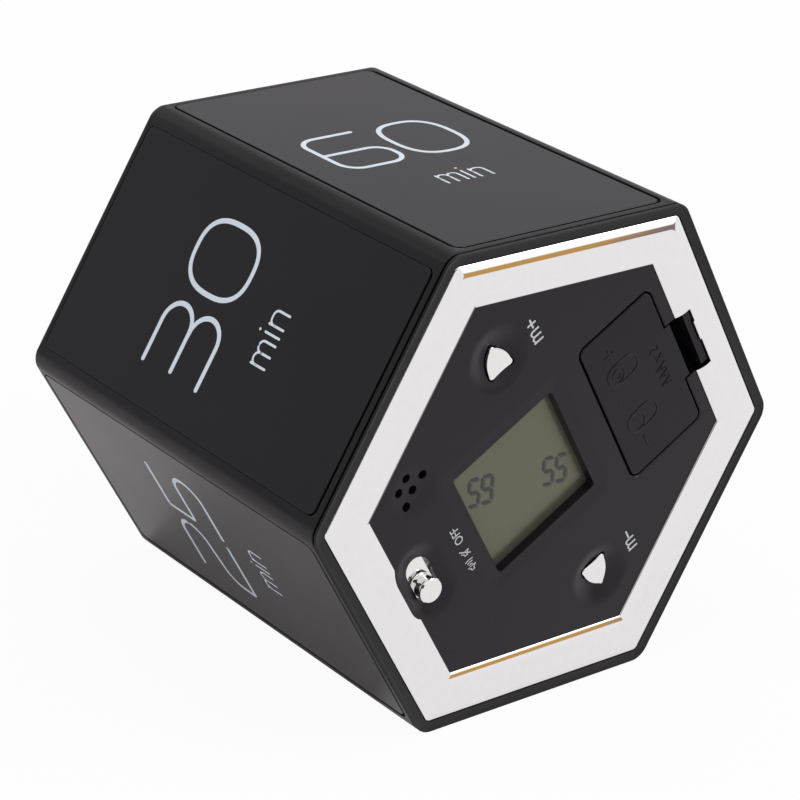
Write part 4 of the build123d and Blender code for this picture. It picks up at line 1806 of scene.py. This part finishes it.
@dataclass
class SegmentFigures:
    """Seven-segment figures of the display, upright when the side marked 60 is up."""

    layout: PanelLayout
    width: float = 1.5
    height: float = 3.45
    line: float = 0.38
    gap: float = 0.09
    spacing: float = 2.0
    foot: float = -2.75
    minutes_left: float = -11.3
    seconds_left: float = 0.15
    thickness: float = 0.02
    # Offset of the painted shadow of the figures.
    painted_shadow_shift: Point = (0.24, -0.22)
    shown: ClassVar[tuple[str, str]] = ("59", "55")
    lit: ClassVar[dict[str, str]] = {"5": "afgcd", "9": "abcdfg"}

    def draw(self, shift: Point) -> Workpiece:
        """Draws minutes and seconds.

        Args:
            shift: how far the drawing lies from the true place; the painted shadow of the figures is shifted.

        Returns:
            The figures in the panel's frame.
        """
        work = Workpiece()
        for left, figures in zip((self.minutes_left, self.seconds_left), self.shown):
            for place, figure in enumerate(figures):
                self.figure(work, figure, left + place * self.spacing)
        tilt = Matrix.Rotation(-TILT, 4, "Z")
        draws_painted_shadow = any(shift)
        lift = self.layout.glass_front - (self.thickness / 2 if draws_painted_shadow else 0.0)
        work.turn(Matrix.Translation((0.0, 0.0, lift)) @ tilt @ Matrix.Translation((*shift, 0.0)))
        return work

    def figure(self, work: Workpiece, figure: str, left: float) -> None:
        """Draws one figure from its lit segments.

        Args:
            work: the drawing.
            figure: the figure, as a character.
            left: its left end.
        """
        right, foot = left + self.width, self.foot
        waist, top = foot + self.height / 2, foot + self.height
        ends = {
            "a": ((left, top), (right, top)),
            "b": ((right, waist), (right, top)),
            "c": ((right, foot), (right, waist)),
            "d": ((left, foot), (right, foot)),
            "f": ((left, waist), (left, top)),
            "g": ((left, waist), (right, waist)),
        }
        for segment in self.lit[figure]:
            self.segment(work, *ends[segment])

    def segment(self, work: Workpiece, start: Point, end: Point) -> None:
        """Adds one bar with pointed ends.

        Args:
            work: the drawing.
            start: one end of the bar.
            end: the other end.
        """
        a, b = Vector(start), Vector(end)
        along = (b - a).normalized()
        aside = Vector((-along.y, along.x)) * self.line / 2
        a, b = a + along * self.gap, b - along * self.gap
        neck = along * self.line / 2
        outline = [a, a + neck - aside, b - neck - aside, b, b - neck + aside, a + neck + aside]
        work.prism([tuple(point) for point in outline], -self.thickness / 2, self.thickness)


@dataclass
class Buttons(SubAssembly):
    """The two chrome push buttons, rounded triangles that point away from the display."""

    layout: PanelLayout
    width: float = 4.35
    height: float = 4.4
    top: float = -0.7
    corner_cut: float = 0.85
    corner_steps: int = 6
    side_bulge: float = 0.36
    bow_cuts: int = 5
    base_dip: float = 0.1
    top_round: float = 0.16
    top_steps: int = 5
    least_area: float = 1.0
    fit: float = 0.22
    flange_radius: float = 3.0
    flange_top: float = -2.3
    flange_foot: float = -3.3

    def build(self) -> None:
        """Models both buttons."""
        for hand, name, body in ((1, "plus", Body.PLUS), (-1, "minus", Body.MINUS)):
            work = Workpiece()
            self.outline(work, hand, 0.0, self.flange_top, self.top)
            work.bevel(work.level_edges(self.top), self.top_round, self.top_steps)
            work.drum(self.layout.button(hand), self.flange_radius, self.flange_foot, self.flange_top)
            self.settle(work, f"{name}_key", body, "button_chrome", BUTTON_CHROME, [f"{name}_button"])

    def outline(self, work: Workpiece, hand: int, grow: float, low: float, high: float) -> None:
        """Adds a prism with the button's outline.

        Args:
            work: shape that takes it.
            hand: 1 for plus and -1 for minus.
            grow: how far the outline is widened.
            low: height of its foot.
            high: height of its top.
        """
        bm = work.bm
        middle = self.layout.button(hand)
        half, rise = self.width / 2 + grow, self.height / 2 + grow
        corners = [(-half, -rise), (half, -rise), (0.0, rise)]
        places = [(middle[0] + hand * x, middle[1] + hand * y, low) for x, y in corners]
        verts = [bm.verts.new(place) for place in places]
        face = bm.faces.new(verts)
        centre = Vector((middle[0], middle[1], low))
        known = set(bm.edges) - set(face.edges)
        work.bevel(verts, self.corner_cut, self.corner_steps, Rounds.CORNERS)
        runs = [edge for edge in bm.edges if edge not in known and edge.calc_length() > self.corner_cut]
        for side in runs:
            level = abs(side.verts[0].co.y - side.verts[1].co.y) < SAME
            self.bow(work, side, -self.base_dip if level else self.side_bulge, centre)
        large = [face for face in bm.faces if face.calc_area() > self.least_area]
        flat = [face for face in large if all(abs(v.co.z - low) < SAME for v in face.verts)]
        face = min(flat, key=lambda face: (face.calc_center_median() - centre).length)
        work.raise_face(face, (0.0, 0.0, high - low))

    def bow(self, work: Workpiece, side: Edge, bulge: float, centre: Vector) -> None:
        """Bows one straight side of the outline.

        Args:
            work: the shape.
            side: edge to bow.
            bulge: how far its middle moves away from the centre.
            centre: middle of the outline.
        """
        start, end = side.verts[0].co.copy(), side.verts[1].co.copy()
        along = end - start
        out = (start + end) / 2 - centre
        out -= along * out.dot(along) / along.length_squared
        out.normalize()
        cut = bmesh.ops.subdivide_edges(work.bm, edges=[side], cuts=self.bow_cuts)["geom_inner"]
        for vert in verts_in(cut):
            share = (vert.co - start).dot(along) / along.length_squared
            vert.co += out * 4 * bulge * share * (1 - share)


@dataclass
class SlideSwitch(SubAssembly):
    """Chrome slide knob on the plate that covers its slot."""

    layout: PanelLayout
    radius: float = 1.6
    proud: float = 0.25
    top_round: float = 0.12
    disc: float = 0.32
    groove: float = 0.3
    groove_foot: float = 0.8
    foot: float = 1.45
    cover: Point = (4.0, 10.3)
    cover_front: float = -1.6
    cover_back: float = -2.2
    hub: float = 2.6
    hub_back: float = -3.1

    def build(self) -> None:
        """Models the knob with its cover."""
        layout = self.layout
        rest = (layout.switch[0], layout.switch[1] - layout.switch_travel / 2)
        top = layout.face + self.proud
        work = Workpiece()
        neck = self.radius - self.groove
        work.turned(
            rest,
            (
                (0.0, top),
                (self.radius - self.top_round, top),
                (self.radius, top - self.top_round),
                (self.radius, top - self.disc),
                (neck + self.top_round, top - self.disc - self.top_round),
                (neck, top - self.groove_foot),
                (self.foot, self.cover_front + self.top_round),
                (self.foot, self.cover_front),
                (0.0, self.cover_front),
            ),
        )
        work.block(rest, self.cover, self.cover_back, self.cover_front)
        work.block(rest, (self.hub, self.hub), self.hub_back, self.cover_back)
        self.settle(work, "slide_knob", Body.KNOB, "button_chrome", BUTTON_CHROME, ["mode_knob"])


@dataclass
class BatteryDoor(SubAssembly):
    """Door with raised cell marks, hooks at its inner edge and a springy latch."""

    layout: PanelLayout
    back: float = -1.8
    edge_round: float = 0.15
    edge_steps: int = 3
    corner_steps: int = 5
    hook_v: float = 7.0
    hook_width: float = 3.0
    hook_reach: float = 1.4
    hook_root: float = 1.4
    hook_front: float = -2.35
    hook_back: float = -3.15
    lap: float = 0.1
    spring: float = 0.6
    web_front: float = -3.6
    web_back: float = -4.2
    web_outer: float = 25.1
    mark_line: float = 0.22
    mark_height: float = 0.08
    mark_left: float = 11.8
    mark_right: float = 16.6
    mark_half: float = 1.45
    mark_power: float = 2.7
    cap_inset: float = 1.4
    cap_middles: tuple[float, ...] = (3.95, -4.1)
    cap_radii: tuple[float, ...] = (1.2, 1.3)
    knob_radius: float = 0.6
    signs: ClassVar[tuple[tuple[Point, Point], ...]] = (
        ((12.6, 7.2), (14.0, 7.2)),
        ((13.3, 6.5), (13.3, 7.9)),
        ((13.3, -6.8), (13.3, -8.4)),
    )
    legend: Legend = Legend("AAA x 2", (-3.2, -19.9), 1.55, 6.3)
    grip_outer: float = 25.5
    grip_width: float = 8.4
    grip_top: float = -0.2
    grip_round: float = 0.1
    grip_steps: int = 2
    latch_foot: float = -3.5

    def build(self) -> None:
        """Models the door, its marks and the latch."""
        self.settle(self.door(), "bay_door", Body.DOOR, "door_plastic", DOOR_BLACK, ["battery_door"])
        self.settle(self.marks(), "door_marks", Body.DOOR, "door_plastic", DOOR_BLACK)
        self.settle(self.latch(), "bay_latch", Body.LATCH, "door_plastic", DOOR_BLACK, ["door_latch"])

    def door(self) -> Workpiece:
        """Models the door's plate, tongue, hooks and spring arm.

        Returns:
            The door in the panel's frame.
        """
        layout = self.layout
        half_u, half_v = layout.door_size[0] / 2, layout.door_size[1] / 2
        u, v = layout.door
        tongue = layout.tongue_width / 2
        inner, outer = u - half_u, u + half_u
        outline = [
            (inner, v - half_v),
            (outer, v - half_v),
            (outer, v - tongue),
            (layout.tongue_u, v - tongue),
            (layout.tongue_u, v + tongue),
            (outer, v + tongue),
            (outer, v + half_v),
            (inner, v + half_v),
        ]
        work = Workpiece()
        verts = work.prism(outline, self.back, layout.face)
        uprights = work.upright_edges(verts)
        corners = [edge for edge in uprights if abs(edge.verts[0].co.y - v) > half_v - SAME]
        work.bevel(corners, layout.door_corner, self.corner_steps)
        work.bevel(work.level_edges(layout.face), self.edge_round, self.edge_steps)
        for hand in (-1, 1):
            self.hook(work, (inner, v + hand * self.hook_v))
        arm = layout.tongue_u - self.spring
        inside = (self.web_back + self.web_front) / 2
        size = (self.spring, 2 * tongue - self.lap)
        work.block((arm + self.spring / 2, v), size, inside, self.back + self.lap)
        web = self.web_outer - arm + self.lap
        work.block((arm - self.lap + web / 2, v), (web, 2 * tongue), self.web_back, self.web_front)
        return work

    def hook(self, work: Workpiece, root: Point) -> None:
        """Adds one hook behind the door: a foot and the tongue that it carries.

        Args:
            work: the door.
            root: place on the door's inner edge.
        """
        inner, middle = root
        inside = (self.hook_back + self.hook_front) / 2
        foot = (self.hook_root, self.hook_width - self.lap)
        work.block((inner + self.hook_root / 2, middle), foot, inside, self.back)
        long = self.hook_root + self.hook_reach + self.lap
        place = (inner + self.hook_root + self.lap - long / 2, middle)
        work.block(place, (long, self.hook_width), self.hook_back, self.hook_front)

    def marks(self) -> Workpiece:
        """Draws the raised marks for the two cells.

        Returns:
            The marks in the panel's frame.
        """
        pen = Pen(self.mark_line, self.mark_height)
        half = (self.mark_right - self.mark_left) / 2
        cap = self.mark_left + self.cap_inset
        for middle, radius in zip(self.cap_middles, self.cap_radii):
            pen.ring((self.mark_left + half, middle), (half, self.mark_half), self.mark_power)
            pen.ring((cap, middle), (radius, radius))
        pen.ring((cap, self.cap_middles[0]), (self.knob_radius, self.knob_radius))
        for start, end in self.signs:
            pen.bar(start, end)
        words = Pen(self.mark_line, self.mark_height)
        words.words(self.legend)
        words.work.turn(QUARTER_TURN)
        pen.work.absorb(words.work)
        pen.work.turn(Matrix.Translation((0.0, 0.0, self.layout.face + self.mark_height / 2)))
        return pen.work

    def latch(self) -> Workpiece:
        """Models the latch's grip: a leg that leans back as it goes down.

        Returns:
            The latch in the panel's frame.
        """
        layout = self.layout
        section = [
            (layout.grip_u, self.grip_top),
            (self.grip_outer, self.grip_top),
            (self.web_outer, self.latch_foot),
            (layout.grip_u, self.latch_foot),
        ]
        half = self.grip_width / 2
        work = Workpiece()
        work.prism(section, -half, half)
        work.turn(Matrix.Translation((0.0, layout.door[1], 0.0)) @ STAND_UP)
        cutter = Workpiece()
        step = (layout.step * 2, layout.step_width + 2 * (layout.notch_u - self.grip_outer))
        low, high = self.latch_foot - layout.overlap, layout.face + layout.overlap
        cutter.block((self.grip_outer, layout.step_v), step, low, high)
        work.carve(cutter)
        work.bevel(work.level_edges(self.grip_top), self.grip_round, self.grip_steps)
        return work


class InnerWorks:
    """Pieces inside the timer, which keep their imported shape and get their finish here."""

    finishes: dict[Finish, tuple[str, ...]] = {
        CAN_STEEL: ("panel_screws", "board_screws", "case_screws", "timing_crystal", "mode_switch_case",
                    "plus_tact_switch", "minus_tact_switch"),
        DISPLAY_FILM: ("lcd_rear_glass",),
        REFLECTOR_FOIL: ("lcd_reflector",),
        FRAME_PLASTIC: ("lcd_support_frame",),
        ZEBRA_RUBBER: ("zebra_strip",),
        BOARD_GREEN: ("main_board",),
        CHIP_RESIN: ("controller_blob", "orientation_sensor"),
        CHIP_CERAMIC: ("chip_parts",),
        KEY_PLASTIC: ("plus_tact_plunger", "minus_tact_plunger", "mode_switch_slider", "buzzer_case"),
        BRASS: ("buzzer_disc",),
        SHELL_BLACK: ("battery_case",),
        CONTACT_STEEL: ("door_contact", "negative_contact", "positive_contact"),
        CELL_SLEEVE: ("upper_cell", "lower_cell"),
        RED_SLEEVE: ("red_lead",),
        BLACK_SLEEVE: ("black_lead",),
    }

    def dress(self) -> None:
        """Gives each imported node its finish."""
        for finish, nodes in self.finishes.items():
            for node in nodes:
                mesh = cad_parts[node].data
                mesh.materials.clear()
                mesh.materials.append(finish.material())
                log.info("%s is finished in %s", node, finish.name)


@dataclass(frozen=True)
class Card:
    """A card that faces the timer and that only reflections show; its colour can fade to the right."""

    name: str
    place: tuple[float, float, float]
    size: Point
    color: Color
    far: Optional[Color] = None
    fade: Point = (0.0, 1.0)


@dataclass(frozen=True)
class Lamp:
    """A soft square lamp that points at the timer: its place, side and power in watts."""

    name: str
    place: tuple[float, float, float]
    size: float
    power: float


@dataclass
class Studio:
    """White sweep, soft lamps, cards for the chrome to mirror, and the camera."""

    image: int = 800
    focal_pixels: float = 2931.83
    sensor: float = 36.0
    clip_start: float = 0.01
    camera_place: tuple[float, float, float] = (-0.21317, -0.26204, 0.17790)
    azimuth: float = -39.187
    elevation: float = 23.889
    roll: float = 3.363
    aim: tuple[float, float, float] = (0.0, 0.0, 0.03)
    white: Color = (1.0, 1.0, 1.0)
    world_level: float = 0.72
    floor_size: float = 6.0
    floor_color: Color = (0.86, 0.8, 0.83)
    floor_white: float = 0.95
    floor_mirror: float = 0.06
    # Painted light: in front of the timer the floor glows nearly white to glossy rays, which takes the
    # timer's shadow out of what the chrome mirrors.
    apron_painted_glow: float = 0.85
    apron_start: float = -0.02
    apron_end: float = -0.032
    cards: ClassVar[tuple[Card, ...]] = (
        Card("dark card", (-0.12, -0.85, 0.32), (0.5, 0.3), (0.02, 0.014, 0.011)),
        Card("brown card", (-0.51, -0.56, 0.28), (0.5, 0.3), (0.06, 0.045, 0.035)),
        Card("grey card left", (-0.62, 0.6, 0.33), (0.9, 0.64), (0.45, 0.44, 0.47)),
        Card("grey card top", (-0.055, 0.64, 0.72), (0.5, 0.3), (0.3, 0.3, 0.31)),
        Card("grey card right", (0.6, 0.72, 0.42), (0.9, 0.8), (0.57, 0.55, 0.57)),
        Card(
            "warm card",
            (0.1, -0.145, 0.032),
            (0.072, 0.04),
            (0.6, 0.35, 0.1),
            far=(0.25, 0.19, 0.2),
            fade=(0.1, 0.111),
        ),
        Card("bright card", (0.1, -0.145, 0.08), (0.072, 0.052), (1.3, 1.3, 1.3)),
    )
    lamps: ClassVar[tuple[Lamp, ...]] = (
        Lamp("key lamp", (0.75, -0.75, 0.75), 0.6, 5.0),
        Lamp("top lamp", (-0.1, 0.1, 1.1), 0.9, 2.4),
    )

    def build(self) -> None:
        """Sets up everything around the timer."""
        scene = bpy.context.scene
        scene.view_settings.view_transform = "Standard"
        self.world(scene)
        self.floor()
        for card in self.cards:
            self.stand(card)
        for lamp in self.lamps:
            self.hang(lamp)
        self.camera(scene)

    def background_mask(self, sheet: NodeSheet) -> Socket:
        """Lays the test for rays that see the background.

        Args:
            sheet: sheet of the world or the floor.

        Returns:
            One for camera, glossy and transmission rays, else nought.
        """
        rays = sheet.add("ShaderNodeLightPath").outputs
        seen = sheet.work_out("MAXIMUM", rays["Is Camera Ray"], rays["Is Glossy Ray"])
        return sheet.work_out("MAXIMUM", seen, rays["Is Transmission Ray"])

    def world(self, scene: bpy.types.Scene) -> None:
        """Makes the white surroundings.

        Args:
            scene: the scene.
        """
        world = bpy.data.worlds.new("white sweep")
        world.use_nodes = True
        sheet = NodeSheet(world.node_tree)
        level = sheet.remap(self.background_mask(sheet), wanted=(self.world_level, 1.0))
        light = sheet.add("ShaderNodeBackground", {"Color": self.white, "Strength": level})
        sheet.add("ShaderNodeOutputWorld", {"Surface": light.outputs["Background"]})
        scene.world = world

    @staticmethod
    def flat(name: str, matrix: Matrix, paint: bpy.types.Material) -> bpy.types.Object:
        """Adds a flat sheet.

        Args:
            name: name of the sheet.
            matrix: place and size of the sheet, which is one metre square without it.
            paint: its material.

        Returns:
            The sheet's object.
        """
        mesh = bpy.data.meshes.new(name)
        bm = bmesh.new()
        bmesh.ops.create_grid(bm, x_segments=2, y_segments=2, size=0.5)
        bmesh.ops.transform(bm, matrix=matrix, verts=bm.verts)
        bm.to_mesh(mesh)
        bm.free()
        mesh.materials.append(paint)
        return put_in_scene(name, mesh)

    def floor(self) -> None:
        """Makes the white floor, which keeps a soft shadow, except where reflections see the floor in front
        of the timer: there a painted glow lifts it.
        """
        paint, sheet = fresh_material("white floor")
        seen = self.background_mask(sheet)
        straight = sheet.add("ShaderNodeLightPath").outputs["Is Camera Ray"]
        # Glow share seen by reflections; near the front it is a painted light that fills the timer's shadow.
        glow_in_reflections = sheet.remap(
            sheet.along("Y"), (self.apron_end, self.apron_start), (self.apron_painted_glow, self.floor_mirror)
        )
        matt = sheet.add("ShaderNodeBsdfDiffuse", {"Color": self.floor_color})
        glow = sheet.add("ShaderNodeEmission", {"Color": self.white, "Strength": 1.0})
        level = sheet.remap(straight, wanted=(glow_in_reflections, self.floor_white))
        share = sheet.work_out("MULTIPLY", seen, level)
        feeds = (share, matt.outputs["BSDF"], glow.outputs["Emission"])
        mix = sheet.add("ShaderNodeMixShader", dict(enumerate(feeds)))
        sheet.add("ShaderNodeOutputMaterial", {"Surface": mix.outputs["Shader"]})
        floor = self.flat("floor", Matrix.Diagonal((self.floor_size, self.floor_size, 1.0, 1.0)), paint)

    def stand(self, plan: Card) -> None:
        """Stands a card beside the timer.

        Args:
            plan: the card.
        """
        paint, sheet = fresh_material(plan.name)
        share = sheet.remap(sheet.along("X"), plan.fade)
        color = sheet.blend(share, plan.color, plan.far or plan.color)
        light = sheet.add("ShaderNodeEmission", {"Color": color, "Strength": 1.0})
        sheet.add("ShaderNodeOutputMaterial", {"Surface": light.outputs["Emission"]})
        place = Vector(plan.place)
        facing = (Vector(self.aim) - place).to_track_quat("Z", "Y").to_matrix().to_4x4()
        matrix = Matrix.Translation(place) @ facing @ Matrix.Diagonal((*plan.size, 1.0, 1.0))
        card = self.flat(plan.name, matrix, paint)
        for ray in ("camera", "diffuse", "shadow", "transmission"):
            setattr(card, f"visible_{ray}", False)

    def hang(self, plan: Lamp) -> None:
        """Hangs a lamp.

        Args:
            plan: the lamp.
        """
        data = bpy.data.lights.new(plan.name, "AREA")
        data.shape = "SQUARE"
        data.size = plan.size
        data.energy = plan.power
        lamp = put_in_scene(plan.name, data)
        lamp.location = plan.place
        lamp.rotation_mode = "QUATERNION"
        lamp.rotation_quaternion = (Vector(self.aim) - Vector(plan.place)).to_track_quat("-Z", "Y")

    def camera(self, scene: bpy.types.Scene) -> None:
        """Makes the camera at the photograph's view.

        Args:
            scene: the scene.
        """
        data = bpy.data.cameras.new("camera")
        data.sensor_width = self.sensor
        data.lens = self.focal_pixels / self.image * self.sensor
        data.clip_start = self.clip_start
        camera = put_in_scene("camera", data)
        turn, rise = math.radians(self.azimuth), math.radians(self.elevation)
        back = Vector((math.sin(turn) * math.cos(rise), -math.cos(turn) * math.cos(rise), math.sin(rise)))
        look = (-back).to_track_quat("-Z", "Y").to_matrix().to_4x4()
        roll = Matrix.Rotation(math.radians(self.roll), 4, "Z")
        camera.matrix_world = Matrix.Translation(self.camera_place) @ look @ roll
        scene.camera = camera


def main() -> None:
    """Builds and dresses the timer, then sets up the studio."""
    logging.basicConfig(level=logging.INFO, format="%(name)s: %(message)s")
    make_grain_effect()
    make_haze_effect()
    make_hairline_effect()
    placer = Placer()
    layout = PanelLayout()
    cup = Cup(placer)
    buttons = Buttons(placer, layout)
    for assembly in (
        cup,
        NumberPlates(placer, cup),
        Bezel(placer, layout),
        DisplayPanel(placer, layout, buttons),
        buttons,
        SlideSwitch(placer, layout),
        BatteryDoor(placer, layout),
    ):
        assembly.build()
    InnerWorks().dress()
    Studio().build()


if __name__ == "__main__":
    main()
